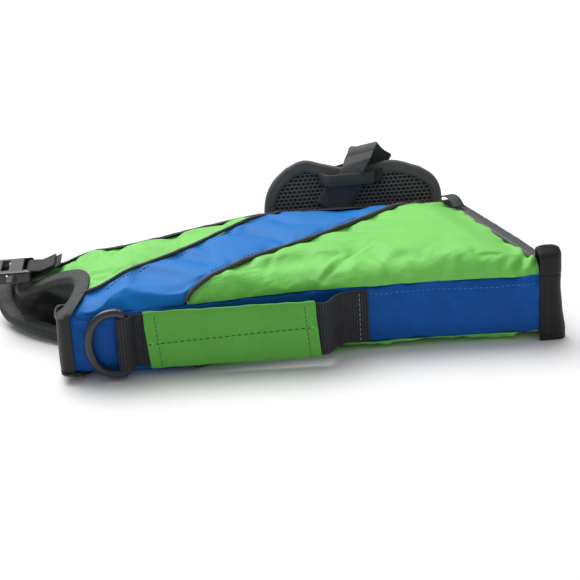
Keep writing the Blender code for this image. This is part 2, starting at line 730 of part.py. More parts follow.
def arm(name, side, turn, pivot):
    """Latch arm: slim leg and a barb that hooks behind the socket's side window."""
    root_x, root_y = ARM_ROOT
    outline = [(root_x, -1.1), (root_x - 6, -1.0), (root_x - ARM_LENGTH, -0.8),
               (root_x - ARM_LENGTH - 1.5, 0.6), (root_x - ARM_LENGTH + 1, 1.9),
               (root_x - 9, 3.4), (root_x - 8, 1.1), (root_x, 1.1)]
    bm = bmesh.new()
    corners = [bm.verts.new((x, side * (root_y + y), -2.0)) for x, y in outline]
    face = bm.faces.new(corners)
    raised = bmesh.ops.extrude_face_region(bm, geom=[face], use_keep_orig=True)
    bmesh.ops.translate(bm, vec=(0, 0, 4.0),
                        verts=[v for v in raised["geom"] if isinstance(v, bmesh.types.BMVert)])
    root = Vector(pivot) + turn @ Vector((root_x, side * root_y, 0))
    add(name, placed(bm, turn, pivot), "buckle_plastic", pivot=tuple(root))


STRAIGHT = Matrix.Identity(3)
TOWARDS_Y = Matrix.Rotation(math.radians(-90), 3, "Z")

# Neck: the right flap carries the female half, the left flap the male half on a short strap.
NECK_FEMALE_PIVOT = (-24.0, 100.0, 42.2)
TAB_WIDTH = 25.0
tab_base = [(x, right.shell_z(x, 100) + BINDING_ROOM + TAPE + GAP + WEBBING / 2)
            for x in (-2, -9, -16)]
neck_tab = looped(lead=tab_base, bar=(NECK_FEMALE_PIVOT[0], NECK_FEMALE_PIVOT[2]),
                  back=[(-16, tab_base[2][1] + WEBBING + GAP + 1.6),
                        (-6, tab_base[1][1] + WEBBING + GAP + 1.8)], radius=LOOP_RADIUS)
strap("neck_tab", [(x, NECK_FEMALE_PIVOT[1], z) for x, z in neck_tab], (0, 1, 0), TAB_WIDTH,
      "webbing")
female_half("neck_buckle_female", STRAIGHT, NECK_FEMALE_PIVOT)

FLOOR_LAYER = WEBBING / 2 + 0.2     # middle of webbing lying on the floor
BAR_OVER_FLOOR = BUCKLE_HEIGHT / 2 + 0.3


def floor_strap(name, x, lead, bar_y):
    """Webbing that runs over the floor from a flank's edge, round a buckle's bar and back."""
    back = [(y + 0.5, z + WEBBING + GAP + 0.3) for y, z in reversed(lead)]
    line = looped(lead=[*lead, (bar_y - 6, FLOOR_LAYER)], bar=(bar_y, BAR_OVER_FLOOR),
                  back=[(bar_y - 5, BAR_OVER_FLOOR + 1.2), *back], radius=LOOP_RADIUS)
    strap(name, [(x, y, z) for y, z in line], (1, 0, 0), TAB_WIDTH, "webbing")
    return (x, bar_y, BAR_OVER_FLOOR)


# The left flap's tip stands off the floor, so its strap curves down to it.
neck_male_pivot = floor_strap("neck_strap", -36.0,
                              [(147.6, 20.0), (150.5, 18.5), (154.0, 12.0), (157.0, 4.0)], 170.0)
male_half("neck_buckle_male", TOWARDS_Y, neck_male_pivot)
belly_female_pivot = floor_strap("belly_tab", 200.0, [(164.9, FLOOR_LAYER)], 176.0)
female_half("belly_buckle_female", TOWARDS_Y, belly_female_pivot)

# ---------------------------------------------------------------- belly panel

PANEL_BASE = 50.0         # z of its sewn lower edge
PANEL_THICK = 4.0         # spacer mesh
PANEL_ROOM = PANEL_THICK / 2 + GAP
BELLY_PIVOT = (224.0, 164.2, 53.7)


def panel_y(z):
    """The panel leans outwards as it rises."""
    return 169.5 + 20 * (max(z - PANEL_BASE, 0) / 42) ** 1.3


panel_low = spline([(150, PANEL_BASE), (286, PANEL_BASE)])
panel_high = spline([(172, 78), (185, 82.5), (200, 79), (217, 75.5), (235, 76), (254, 78.5),
                     (274, 73)])
panel_front = spline([(150, PANEL_BASE), (155, 59), (162, 70), (172, 78)])
panel_rear = spline([(287, PANEL_BASE), (287.5, 58), (283, 67), (274, 73)])
panel_plan = patch(panel_low, panel_high, panel_front, panel_rear, (0, 0.8, 0.8, 0.8))


def panel_face(depth):
    def point(u, v):
        x, z = panel_plan(u, v)
        return np.array([x, panel_y(z) + depth, z])
    return point


layer("belly_mesh", panel_face(-PANEL_THICK / 2), panel_face(PANEL_THICK / 2), (16, 6),
      "spacer_mesh", pivot=BELLY_PIVOT)


def panel_binding(half):
    """Tape folded over the panel's free edge, from its front foot over the top to its rear foot."""
    edge = chained(panel_front, panel_high, lambda t: panel_rear(1 - t))
    section = tape_section(7.0, half)

    def point(u, v):
        s = 0.02 + 0.96 * u
        outwards = left_normal(edge, s)
        reach, depth = section[round(v * TAPE_STEPS)]
        x, z = edge(s) + outwards * reach
        base_z = (edge(s) + outwards * min(reach, 0))[1]
        return np.array([x, panel_y(base_z) - depth, z])
    return point


layer("belly_binding", panel_binding(PANEL_ROOM + TAPE), panel_binding(PANEL_ROOM), (30, TAPE_STEPS),
      "binding_tape", pivot=BELLY_PIVOT)

STRAP_LEAN = math.radians(34)       # from upright, towards the tail
STRAP_FOOT = (207.0, 59.0)          # x and z of the middle of its sewn foot
STRAP_WIDTH = 25.0
UP_STRAP = np.array([math.sin(STRAP_LEAN), 0, math.cos(STRAP_LEAN)])
ACROSS_STRAP = np.array([math.cos(STRAP_LEAN), 0, -math.sin(STRAP_LEAN)])
ON_PANEL = PANEL_ROOM + TAPE + GAP + WEBBING / 2


def strap_point(run, y, sideways=0.0, follow=0.0):
    """A point up the strap at a given y. follow, 0 to 1, hugs the panel's slope across the width."""
    on_line = STRAP_FOOT[1] + run * UP_STRAP[2]
    x, _, z = np.array([STRAP_FOOT[0], 0, STRAP_FOOT[1]]) + UP_STRAP * run + ACROSS_STRAP * sideways
    return np.array([x, y + follow * (panel_y(z) - panel_y(on_line)), z])


def before_panel(run, depth):
    return run, panel_y(STRAP_FOOT[1] + run * UP_STRAP[2]) - depth


STRAP_TOP = 35.0
LOOP_Y = (181.0, 193.0)             # front and back of the folded loop above the panel
BELLY_BAR = (2.0, LOOP_Y[1] + LOOP_RADIUS)
up = [before_panel(run, ON_PANEL + more)
      for run, more in ((0, 0.4), (8, 1.1), (13, 2.4), (18, 3.8), (24, 4.9), (30, 5.6))]
loop_middle, loop_half = sum(LOOP_Y) / 2, (LOOP_Y[1] - LOOP_Y[0]) / 2
crown = [(STRAP_TOP + 6 * math.sin(a), loop_middle - loop_half * math.cos(a))
         for a in np.linspace(0.1, 3.0, 8)]
down = looped(lead=[(26, LOOP_Y[1]), (9, LOOP_Y[1])], bar=BELLY_BAR,
              back=[(8, LOOP_Y[1] + 5.2), (16, LOOP_Y[1] + 2.4)], radius=LOOP_RADIUS)
strap_line = np.array(up + crown + down)
STRAP_STEPS = len(strap_line) - 1


def belly_strap(u, v):
    run, y = [np.interp(u * STRAP_STEPS, np.arange(STRAP_STEPS + 1), strap_line[:, k])
              for k in (0, 1)]
    follow = smooth((loop_middle - y) / 8) * smooth((34 - run) / 8)
    return strap_point(run, y, (v - 0.5) * STRAP_WIDTH, follow)


layer("belly_strap", offset(belly_strap, WEBBING / 2), offset(belly_strap, -WEBBING / 2),
      (STRAP_STEPS, 3), "webbing", pivot=BELLY_PIVOT)

KEEPER_Z = 72.0
KEEPER_HUMP = -8.0
keeper_line = [(187, 0), (194, 0), (196.5, KEEPER_HUMP), (236.5, KEEPER_HUMP), (239, 0), (246, 0)]
keeper_y = panel_y(KEEPER_Z) - ON_PANEL - 0.4
strap("belly_strap_keeper", [(x, keeper_y + out, KEEPER_Z) for x, out in keeper_line],
      (0, 0.45, 0.89), 9.0, "webbing", pivot=BELLY_PIVOT)

HANGING = Matrix((UP_STRAP, ACROSS_STRAP, (0, 1, 0))).transposed()
belly_male_pivot = tuple(strap_point(*BELLY_BAR))
male_half("belly_buckle_male", HANGING, belly_male_pivot)

# Small loop of tape over the right flank's rear corner.
corner_line = [(290, 146), (293, 137), (296, 128), (298, 119)]
corner_rise = (1.6, 5.0, 5.0, 1.6)
strap("rear_corner_loop", [(x - 2, y, right.shell_z(x - 2, y) + BINDING_ROOM + TAPE + rise)
                           for (x, y), rise in zip(corner_line, corner_rise)],
      (0.94, 0.33, 0), 9.0, "binding_tape")
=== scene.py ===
import json
import math

import bmesh
import bpy
import numpy as np
from mathutils import Matrix, Vector
from mathutils.bvhtree import BVHTree


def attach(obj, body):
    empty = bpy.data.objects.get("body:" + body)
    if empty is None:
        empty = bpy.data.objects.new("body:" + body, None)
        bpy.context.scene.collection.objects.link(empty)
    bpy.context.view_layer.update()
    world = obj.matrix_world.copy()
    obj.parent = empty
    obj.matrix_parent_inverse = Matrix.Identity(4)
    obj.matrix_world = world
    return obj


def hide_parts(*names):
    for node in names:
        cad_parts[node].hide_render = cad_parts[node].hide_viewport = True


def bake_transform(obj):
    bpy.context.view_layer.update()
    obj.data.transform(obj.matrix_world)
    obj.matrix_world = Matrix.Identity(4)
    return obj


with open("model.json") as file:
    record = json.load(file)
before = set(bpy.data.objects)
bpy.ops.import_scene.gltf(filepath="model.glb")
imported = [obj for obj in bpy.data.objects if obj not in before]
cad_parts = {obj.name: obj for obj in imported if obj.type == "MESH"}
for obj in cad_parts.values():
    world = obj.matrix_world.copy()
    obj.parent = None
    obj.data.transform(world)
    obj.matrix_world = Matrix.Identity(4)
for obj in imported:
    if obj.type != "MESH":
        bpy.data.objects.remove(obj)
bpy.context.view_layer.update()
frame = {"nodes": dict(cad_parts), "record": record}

# Lengths below are in millimetres of the pattern: X from neck to tail, Y from the spine to the belly,
# Z up from the floor. w is the distance from the spine measured over a flank's rounded shoulder.
ORIGIN = np.array([145.33, 89.25, 0.0])     # middle of the object's footprint
PADDING = 19.0            # a flank's thickness in its middle
SEAM = 4.6                # its thickness at a sewn edge
PAD_START = 11.0          # distance from an edge where it starts to thicken
PAD_FULL = 38.0           # distance where it has its full thickness
TAPE = 1.0                # thickness of binding tape
WEBBING = 1.4             # thickness of webbing
LAYER_GAP = 0.4           # left between one layer and the next
BINDING_WIDTH = 8.0
BINDING_ROOM = 0.3        # between the cloth and the inside of its binding
SPINE_LOW = 6.9           # z of the spine's two long edges
SPINE_HIGH = 47.2
SPINE_MIDDLE = (SPINE_LOW + SPINE_HIGH) / 2
SPINE_INSIDE = 6.4        # y of its lining
INSIDE_Y = SPINE_INSIDE + 1.2
SPINE_CLOTH = 0.8         # thickness of the cloth over the spine's foam
OUT = (0, -1, 0)          # out from the spine
TAIL_END = 333.0          # x where the cloth ends, inside the tail tape
TAIL_TIP = 345.4          # x of the tail tape's fold
STRIP_TOP = 66.0          # z of the tail tape's top
HANDLE_WIDTH = 38.0
GRID = 3.0                # spacing of a cloth's points before it is subdivided
LINING_GRID = 4.0
PANEL_SINK = 1.0          # a panel starts this far inside its CAD face, because its cloth swells
EDGE_GAP = 2.0            # between a cloth's rim and the sewn edge, under the binding
SEAM_GAP = 0.5            # between a cloth's rim and the middle of a piping
# Creases of a rear panel: x, lean, width, middle w, length and height of each
CREASES = ((186, 0.7, 3.0, 16, 15, 1.8), (193, 0.9, 2.6, 18, 16, -2.0), (203, 0.5, 4.0, 14, 12, 1.3),
           (222, -0.3, 3.2, 12, 11, 1.6), (228, -0.4, 2.6, 12, 12, -1.5), (214, 0.2, 9.0, 34, 16, 1.2),
           (262, 0.4, 8.0, 30, 20, -1.0), (285, -0.3, 5.0, 14, 12, 1.0), (320.5, 0.35, 2.4, 17, 9, -3.4),
           (326.5, 0.3, 2.6, 18, 7, 3.8), (313, 0.5, 3.4, 14, 10, 1.6))


# ---------------------------------------------------------------- curves

def metres(points):
    """From pattern millimetres to metres in the frame."""
    return (np.array(points, float) - ORIGIN) / 1000


def smooth(value):
    s = np.clip(value, 0.0, 1.0)
    return s * s * (3 - 2 * s)


def unit(vectors):
    """Vectors along the last axis, each scaled to length 1."""
    return vectors / np.linalg.norm(vectors, axis=-1)[..., None]


def rounded(points, steps=12):
    """Catmull-Rom points through the given ones."""
    p = np.array(points, float)
    if len(p) < 3:
        return p
    ends = np.vstack([2 * p[0] - p[1], p, 2 * p[-1] - p[-2]])
    dense = []
    for a, b, c, d in zip(ends, ends[1:], ends[2:], ends[3:]):
        for s in np.linspace(0, 1, steps, endpoint=False):
            dense.append(0.5 * (2 * b + (c - a) * s + (2 * a - 5 * b + 4 * c - d) * s ** 2
                                + (3 * b - a - 3 * c + d) * s ** 3))
    return np.array(dense + [p[-1]])


def run_along(points):
    """Length from the first point to each point of a line."""
    return np.concatenate([[0], np.cumsum(np.linalg.norm(np.diff(points, axis=0), axis=1))])


class Line:
    """A curve read by fractions of its length."""

    def __init__(self, points, curved=True):
        self.p = rounded(points) if curved else np.array(points, float)
        run = run_along(self.p)
        self.length = run[-1]
        self.run = run / run[-1]

    def at(self, t):
        t = np.atleast_1d(t)
        return np.stack([np.interp(t, self.run, self.p[:, k]) for k in range(self.p.shape[1])], 1)

    def left(self, t):
        """Unit vectors to the left of the curve's direction in plan."""
        t = np.atleast_1d(t)
        d = self.at(np.minimum(t + 0.01, 1)) - self.at(np.maximum(t - 0.01, 0))
        return unit(np.stack([-d[:, 1], d[:, 0]], 1))

    def part(self, a, b, count=40):
        return Line(self.at(np.linspace(a, b, count)), curved=False)

    def nearest(self, point):
        t = np.linspace(0, 1, 801)
        return t[np.argmin(np.linalg.norm(self.at(t) - point, axis=1))]


def chained(*lines):
    """Lines one after the other, without repeating the points they share."""
    points = [lines[0].at(np.linspace(0, 1, 40))]
    for line in lines[1:]:
        points.append(line.at(np.linspace(0, 1, 40))[1:])
    return Line(np.vstack(points), curved=False)


def patch(low, high, start, end, insets, spacing=GRID):
    """Plan grid between four lines, pulled in from each by its inset."""
    low_in, high_in, start_in, end_in = insets
    nu = max(4, round(max(low.length, high.length) / spacing))
    nv = max(4, round(max(start.length, end.length) / spacing))
    u, v = np.linspace(0, 1, nu + 1), np.linspace(0, 1, nv + 1)
    from_low, from_high = low_in * low.left(u), -high_in * high.left(u)
    from_start, from_end = -start_in * start.left(v), end_in * end.left(v)
    a, b = u[:, None], v[:, None]
    low_side = low.at(u) + from_low + (1 - a) * from_start[0] + a * from_end[0]
    high_side = high.at(u) + from_high + (1 - a) * from_start[-1] + a * from_end[-1]
    start_side = start.at(v) + from_start + (1 - b) * from_low[0] + b * from_high[0]
    end_side = end.at(v) + from_end + (1 - b) * from_low[-1] + b * from_high[-1]
    a, b = a[:, :, None], b[None]
    ruled = ((1 - b) * low_side[:, None] + b * high_side[:, None]
             + (1 - a) * start_side[None] + a * end_side[None])
    return ruled - ((1 - a) * (1 - b) * low_side[0] + a * (1 - b) * low_side[-1]
                    + (1 - a) * b * high_side[0] + a * b * high_side[-1])


def distance_to(outline, x, y):
    """Distance from plan points to a line of points."""
    x, y = np.broadcast_arrays(np.asarray(x, float), np.asarray(y, float))
    p = np.stack([x.ravel(), y.ravel()], 1)
    a, b = outline[:-1], outline[1:]
    run = b - a
    size = np.maximum((run * run).sum(1), 1e-9)
    away = np.empty(len(p))
    for k in range(0, len(p), 2000):
        q = p[k:k + 2000, None] - a[None]
        share = np.clip((q * run).sum(2) / size, 0, 1)
        away[k:k + 2000] = np.linalg.norm(q - run * share[:, :, None], axis=2).min(1)
    return away.reshape(x.shape)


def wander(t, size, waves, seed):
    """Smooth noise along t, as a few sine waves with seeded phases."""
    phases = np.random.default_rng(seed).uniform(0, 2 * math.pi, len(waves))
    return size * sum(np.sin(2 * math.pi * k * t + p) for k, p in zip(waves, phases)) / len(waves)


# ---------------------------------------------------------------- materials

class Nodes:
    """A procedural material, with short calls for the nodes it is made of."""

    def __init__(self, name, colour, roughness, on_cloth=True, sheen=0.0, coat=0.0, specular=0.5):
        self.material = bpy.data.materials.new(name)
        self.material.use_nodes = True
        self.tree = self.material.node_tree
        self.shader = self.tree.nodes["Principled BSDF"]
        self.colour = colour
        self.set("Base Color", (*colour, 1))
        self.set("Roughness", roughness)
        self.set("Sheen Weight", sheen)
        self.set("Sheen Roughness", 0.45)
        self.set("Coat Weight", coat)
        self.set("Specular IOR Level", specular)
        coordinates = self.tree.nodes.new("ShaderNodeTexCoord")
        self.solid = coordinates.outputs["Object"]
        split = self.tree.nodes.new("ShaderNodeSeparateXYZ")
        self.link(coordinates.outputs["UV" if on_cloth else "Object"], split.inputs[0])
        self.u, self.v = split.outputs[0], split.outputs[1]

    def set(self, name, value):
        self.shader.inputs[name].default_value = value

    def link(self, out, socket):
        self.tree.links.new(out, socket)

    def math(self, operation, a, b=0.0, c=0.0, clamp=False):
        node = self.tree.nodes.new("ShaderNodeMath")
        node.operation = operation
        node.use_clamp = clamp
        for socket, value in zip(node.inputs, (a, b, c)):
            if isinstance(value, (int, float)):
                socket.default_value = value
            else:
                self.link(value, socket)
        return node.outputs[0]

    def noise(self, scale, detail=2.0, source=None):
        node = self.tree.nodes.new("ShaderNodeTexNoise")
        node.inputs["Scale"].default_value = scale
        node.inputs["Detail"].default_value = detail
        self.link(source or self.solid, node.inputs["Vector"])
        return node.outputs["Fac"]

    def wave(self, along, pitch, shift=0.0):
        """0 to 1 and back once in each pitch, in metres."""
        turned = self.math("MULTIPLY_ADD", along, 2 * math.pi / pitch, shift)
        return self.math("MULTIPLY_ADD", self.math("SINE", turned), 0.5, 0.5)

    def ridge(self, along, spacing, width):
        """1 on lines that lie spacing apart, falling to 0 at width from them."""
        away = self.math("PINGPONG", along, spacing / 2)
        return self.math("SUBTRACT", 1.0, self.math("DIVIDE", away, width, clamp=True))

    def tint(self, factor, low, high):
        """Base colour between two multiples of the material's colour."""
        node = self.tree.nodes.new("ShaderNodeMix")
        node.data_type = "RGBA"
        sockets = [s for s in node.inputs if s.type == "RGBA"]
        for socket, share in zip(sockets, (low, high)):
            socket.default_value = (*(min(c * share, 1) for c in self.colour), 1)
        self.link(factor, node.inputs["Factor"])
        out = [s for s in node.outputs if s.type == "RGBA"][0]
        self.link(out, self.shader.inputs["Base Color"])

    def bump(self, height, depth):
        """Relief of the given depth, in metres."""
        node = self.tree.nodes.new("ShaderNodeBump")
        node.inputs["Strength"].default_value = 1.0
        node.inputs["Distance"].default_value = depth
        self.link(height, node.inputs["Height"])
        self.link(node.outputs[0], self.shader.inputs["Normal"])

    def add(self, *terms):
        total = terms[0]
        for term in terms[1:]:
            total = self.math("ADD", total, term)
        return total

    def times(self, a, b):
        return self.math("MULTIPLY", a, b)


def ripstop(name, colour):
    """Plain weave with a thicker thread every few millimetres both ways."""
    n = Nodes(name, colour, 0.5, sheen=0.02, specular=0.25)
    weave = n.times(n.wave(n.u, 0.0007), n.wave(n.v, 0.0007))
    cords = n.math("MAXIMUM", n.ridge(n.u, 0.0022, 0.0004), n.ridge(n.v, 0.0022, 0.0004))
    slub = n.noise(900, 1)
    height = n.add(n.times(weave, 0.35), n.times(cords, 0.55), n.times(slub, 0.3))
    n.bump(height, 0.00013)
    worn = n.math("MULTIPLY_ADD", n.noise(38, 4), 0.7, n.times(cords, 0.2))
    n.tint(worn, 0.82, 1.14)
    return n.material


def twill(name, colour, contrast=0.22):
    """Fine diagonal ribs."""
    n = Nodes(name, colour, 0.5, sheen=0.0, specular=0.16)
    slant = n.math("ADD", n.u, n.v)
    ribs = n.wave(slant, 0.0016)
    across = n.wave(n.math("SUBTRACT", n.u, n.v), 0.0007)
    n.bump(n.add(n.times(ribs, 0.6), n.times(across, 0.25), n.times(n.noise(700, 1), 0.25)), 0.00012)
    n.tint(n.math("MULTIPLY_ADD", n.noise(45, 3), 0.5, n.times(ribs, 0.5)), 1 - contrast, 1 + contrast)
    return n.material


def plain(name, colour):
    """Soft, loose plain weave."""
    n = Nodes(name, colour, 0.75, sheen=0.03, specular=0.15)
    weave = n.times(n.wave(n.u, 0.0012), n.wave(n.v, 0.0012, 1.2))
    n.bump(n.add(n.times(weave, 0.7), n.times(n.noise(500, 2), 0.5)), 0.00016)
    n.tint(n.noise(60, 4), 0.65, 1.5)
    return n.material


def tape(name, colour):
    """Binding tape: fine cross ribs and a beaded edge."""
    n = Nodes(name, colour, 0.6, sheen=0.06, specular=0.3)
    ribs = n.wave(n.u, 0.0011)
    threads = n.wave(n.v, 0.0008)
    n.bump(n.add(n.times(ribs, 0.6), n.times(threads, 0.3), n.times(n.noise(420, 2), 0.35)), 0.00015)
    n.tint(n.math("MULTIPLY_ADD", n.noise(70, 4), 0.6, n.times(ribs, 0.25)), 0.66, 1.35)
    return n.material


def heavy_webbing(name, colour):
    """Thick warp cords side by side, crossed by weft in a staggered weave."""
    n = Nodes(name, colour, 0.62, sheen=0.04, specular=0.25)
    cord = 0.0021
    column = n.math("FLOOR", n.math("DIVIDE", n.v, cord))
    odd = n.math("MODULO", column, 2.0)
    step = n.math("MULTIPLY_ADD", odd, 0.9, 0.0)
    turned = n.math("MULTIPLY_ADD", n.u, 2 * math.pi / 0.0019, step)
    float_over = n.math("MULTIPLY_ADD", n.math("SINE", turned), 0.5, 0.5)
    bulge = n.math("SQRT", n.math("PINGPONG", n.math("DIVIDE", n.v, cord), 0.5))
    threads = n.wave(n.v, 0.0005)
    height = n.add(n.times(n.times(float_over, bulge), 1.2), n.times(threads, 0.12),
                   n.times(n.noise(600, 2), 0.15))
    n.bump(height, 0.0005)
    n.tint(n.math("MULTIPLY_ADD", n.times(float_over, bulge), 1.0, n.times(n.noise(90, 3), 0.25)),
           0.25, 2.6)
    return n.material


def spacer(name, colour):
    """Knitted spacer mesh: rows of staggered holes with raised ribs between them."""
    n = Nodes(name, colour, 0.7, sheen=0.2, specular=0.3)
    pitch, rise = 0.0036, 0.0027
    row = n.math("FLOOR", n.math("DIVIDE", n.v, rise))
    shifted = n.math("MULTIPLY_ADD", n.math("MODULO", row, 2.0), pitch / 2, n.u)
    du = n.math("SUBTRACT", n.math("PINGPONG", n.math("DIVIDE", shifted, pitch), 0.5), 0.5)
    dv = n.math("SUBTRACT", n.math("FRACT", n.math("DIVIDE", n.v, rise)), 0.5)
    away = n.math("SQRT", n.add(n.times(du, du), n.times(dv, dv)))
    rib = n.math("MULTIPLY_ADD", away, 6.0, -2.1, clamp=True)
    n.bump(n.add(rib, n.times(n.noise(900, 1), 0.2)), 0.0012)
    n.tint(n.math("MULTIPLY", rib, n.math("MULTIPLY_ADD", n.noise(60, 2), 0.5, 0.7)), 0.12, 2.0)
    return n.material


def moulded(name, colour, roughness):
    """Plastic with a fine moulded grain and faint scuffs."""
    n = Nodes(name, colour, roughness, on_cloth=False, coat=0.05)
    n.bump(n.add(n.noise(900, 2), n.times(n.noise(60, 2), 0.6)), 0.00006)
    n.tint(n.noise(30, 5), 0.75, 1.4)
    return n.material


def cell_foam(name, colour):
    n = Nodes(name, colour, 0.85, on_cloth=False)
    n.bump(n.noise(800, 3), 0.0002)
    n.tint(n.noise(40, 3), 0.85, 1.05)
    return n.material


def thread(name, colour):
    n = Nodes(name, colour, 0.55, on_cloth=False, sheen=0.2)
    n.bump(n.noise(2500, 2), 0.0001)
    n.tint(n.noise(200, 2), 0.7, 1.3)
    return n.material


GREEN = (0.2, 0.66, 0.115)
BLUE = (0.003, 0.175, 0.56)
MATERIALS = {
    "green_ripstop": ripstop("green_ripstop_cloth", GREEN),
    "blue_twill": twill("blue_twill_cloth", BLUE),
    "lining_fabric": plain("lining_cloth", (0.004, 0.006, 0.0065)),
    "binding_tape": tape("binding_tape_cloth", (0.026, 0.029, 0.029)),
    "webbing": heavy_webbing("webbing_weave", (0.026, 0.028, 0.032)),
    "piping": tape("piping_cloth", (0.055, 0.058, 0.058)),
    "foam": cell_foam("foam_cells", (0.75, 0.75, 0.72)),
    "spacer_mesh": spacer("spacer_knit", (0.095, 0.098, 0.092)),
    "ring_plastic": moulded("ring_moulded", (0.02, 0.024, 0.031), 0.3),
    "buckle_plastic": moulded("buckle_moulded", (0.014, 0.016, 0.018), 0.33),
}
DARK_TAPE = tape("dark_tape_cloth", (0.01, 0.0115, 0.0115))
MIDDLE_TAPE = tape("middle_tape_cloth", (0.095, 0.1, 0.098))
PALE_TAPE = tape("pale_tape_cloth", (0.055, 0.058, 0.058))
STRAP_WEAVE = tape("strap_weave", (0.05, 0.054, 0.056))
# painted shade: a darker copy of the blue twill for the spine band, standing in for the shade on its
# front face
SHADED_BAND_TWILL = twill("shaded_band_twill_cloth", (0.0015, 0.085, 0.37), contrast=0.55)
# painted shade: a darker copy of the green ripstop for the handle cover, standing in for the shade on
# its front face
SHADED_COVER_RIPSTOP = ripstop("shaded_cover_ripstop_cloth", (0.115, 0.44, 0.06))
THREADS = {"dark": thread("dark_thread", (0.03, 0.03, 0.032)),
           "pale": thread("grey_thread", (0.3, 0.31, 0.31)),
           "green": thread("green_thread", (0.02, 0.14, 0.012)),
           "lime": thread("lime_thread", (0.2, 0.62, 0.14)),
           "blue": thread("blue_thread", (0.0008, 0.05, 0.2)),
           "sky": thread("sky_thread", (0.03, 0.2, 0.6))}


# ---------------------------------------------------------------- meshes

def place(name, data):
    """A new object in the scene."""
    obj = bpy.data.objects.new(name, data)
    bpy.context.scene.collection.objects.link(obj)
    return obj


def link_mesh(name, points, faces, uvs, material, slot):
    """Make an object from points in pattern millimetres. uvs hold one (u, v) a face corner."""
    mesh = bpy.data.meshes.new(name)
    mesh.from_pydata(metres(points).tolist(), [], faces)
    if uvs is not None:
        layer = mesh.uv_layers.new(name="cloth")
        layer.data.foreach_set("uv", (np.array(uvs, float) / 1000).ravel())
    mesh.materials.append(material)
    mesh.shade_smooth()
    mesh.validate()
    obj = place(name, mesh)
    return obj


def grid_mesh(name, grid, plan, slot, outward, material=None):
    """A sheet from a grid of points, facing outward."""
    nu, nv = grid.shape[:2]
    index = np.arange(nu * nv).reshape(nu, nv)
    faces = np.stack([index[:-1, :-1], index[1:, :-1], index[1:, 1:], index[:-1, 1:]], -1).reshape(-1, 4)
    middle = (nu // 2, nv // 2)
    du = grid[min(middle[0] + 1, nu - 1), middle[1]] - grid[middle[0] - 1, middle[1]]
    dv = grid[middle[0], min(middle[1] + 1, nv - 1)] - grid[middle[0], middle[1] - 1]
    if np.dot(np.cross(du, dv), outward) < 0:
        faces = faces[:, ::-1]
    uvs = np.array(plan, float).reshape(-1, 2)[faces.ravel()]
    return link_mesh(name, grid.reshape(-1, 3), faces.tolist(), uvs, material or MATERIALS[slot], slot)


def sweep(name, stations, section_run, slot, material=None, ring=False, body=None):
    """Closed tube-like solid. stations is (count, section points, 3); the section closes on itself."""
    count, size = stations.shape[:2]
    index = np.arange(count * size).reshape(count, size)
    middles = stations.mean(axis=1)
    run = run_along(middles)
    across = np.append(section_run, 2 * section_run[-1] - section_run[-2])
    faces, uvs = [], []
    for i in range(count if ring else count - 1):
        k = (i + 1) % count
        far = run[i] + np.linalg.norm(middles[k] - middles[i])
        for j in range(size):
            m = (j + 1) % size
            faces.append([int(index[i, j]), int(index[i, m]), int(index[k, m]), int(index[k, j])])
            uvs.extend([(run[i], across[j]), (run[i], across[j + 1]), (far, across[j + 1]),
                        (far, across[j])])
    if not ring:
        for row, order in ((0, -1), (count - 1, 1)):
            face = [int(f) for f in index[row][::order]]
            faces.append(face)
            uvs.extend([(run[row], across[j]) for j in range(size)])
    obj = link_mesh(name, stations.reshape(-1, 3), faces, uvs, material or MATERIALS[slot], slot)
    bm = bmesh.new()
    bm.from_mesh(obj.data)
    bmesh.ops.recalc_face_normals(bm, faces=bm.faces)
    if bm.calc_volume(signed=True) < 0:
        bmesh.ops.reverse_faces(bm, faces=bm.faces)
    bm.to_mesh(obj.data)
    bm.free()
    obj.data.set_sharp_from_angle(angle=math.radians(50))
    if body:
        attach(obj, body)
    return obj


def cord(name, points, radius, slot, body, sides=10, ring=False, material=None):
    """Round cord along points in pattern millimetres."""
    points = np.array(points, float)
    if ring:
        d = unit(np.roll(points, -1, axis=0) - np.roll(points, 1, axis=0))
        side = unit(np.cross(d, (0, 1, 0)))
    else:
        d = unit(np.gradient(points, axis=0))
        side = unit(np.cross(d, (0, 0, 1)))
    normal = np.cross(side, d)
    turns = np.linspace(0, 2 * math.pi, sides, endpoint=False)
    stations = (points[:, None] + radius * (side[:, None] * np.cos(turns)[None, :, None]
                                            + normal[:, None] * np.sin(turns)[None, :, None]))
    return sweep(name, stations, turns * radius, slot, ring=ring, body=body, material=material)


def strap(name, points, across, width, slot, body, thickness=WEBBING, step=1.3, curved=True,
          material=None):
    """Flat webbing along points, with rounded selvedges."""
    line = Line(points, curved=curved)
    count = max(6, int(line.length / step))
    middle = line.at(np.linspace(0, 1, count))
    across = np.broadcast_to(np.array(across, float), middle.shape)
    normal = unit(np.cross(np.gradient(middle, axis=0), across))
    half, edge = width / 2, thickness / 2
    columns = np.linspace(-half + edge, half - edge, max(3, round(width / 3)))
    turns = np.linspace(-math.pi / 2, math.pi / 2, 5)[1:-1]
    section = ([(c, edge) for c in columns]
               + [(half - edge + edge * math.cos(a), -edge * math.sin(a)) for a in turns]
               + [(c, -edge) for c in columns[::-1]]
               + [(-half + edge - edge * math.cos(a), edge * math.sin(a)) for a in turns])
    section = np.array(section)
    stations = (middle[:, None] + across[:, None] * section[None, :, :1]
                + normal[:, None] * section[None, :, 1:])
    return sweep(name, stations, run_along(section), slot, body=body, material=material)


def points_of(mesh):
    """A mesh's points as an array, in metres."""
    co = np.empty(len(mesh.vertices) * 3)
    mesh.vertices.foreach_get("co", co)
    return co.reshape(-1, 3)


def thicken(obj, thickness, offset):
    """Give a sheet its thickness in millimetres: offset 0 both ways, -1 behind its face."""
    solid = obj.modifiers.new("thickness", "SOLIDIFY")
    solid.thickness = thickness / 1000
    solid.offset = offset


def folded_layer(side, thick):
    """Section of one face of a tape folded over an edge: one side, the round nose, the other side."""
    nose = [(thick * 0.9 * math.sin(a), thick * math.cos(a))
            for a in np.linspace(0.25, math.pi - 0.25, 9)]
    return side + nose + [(reach, -height) for reach, height in side[::-1]]


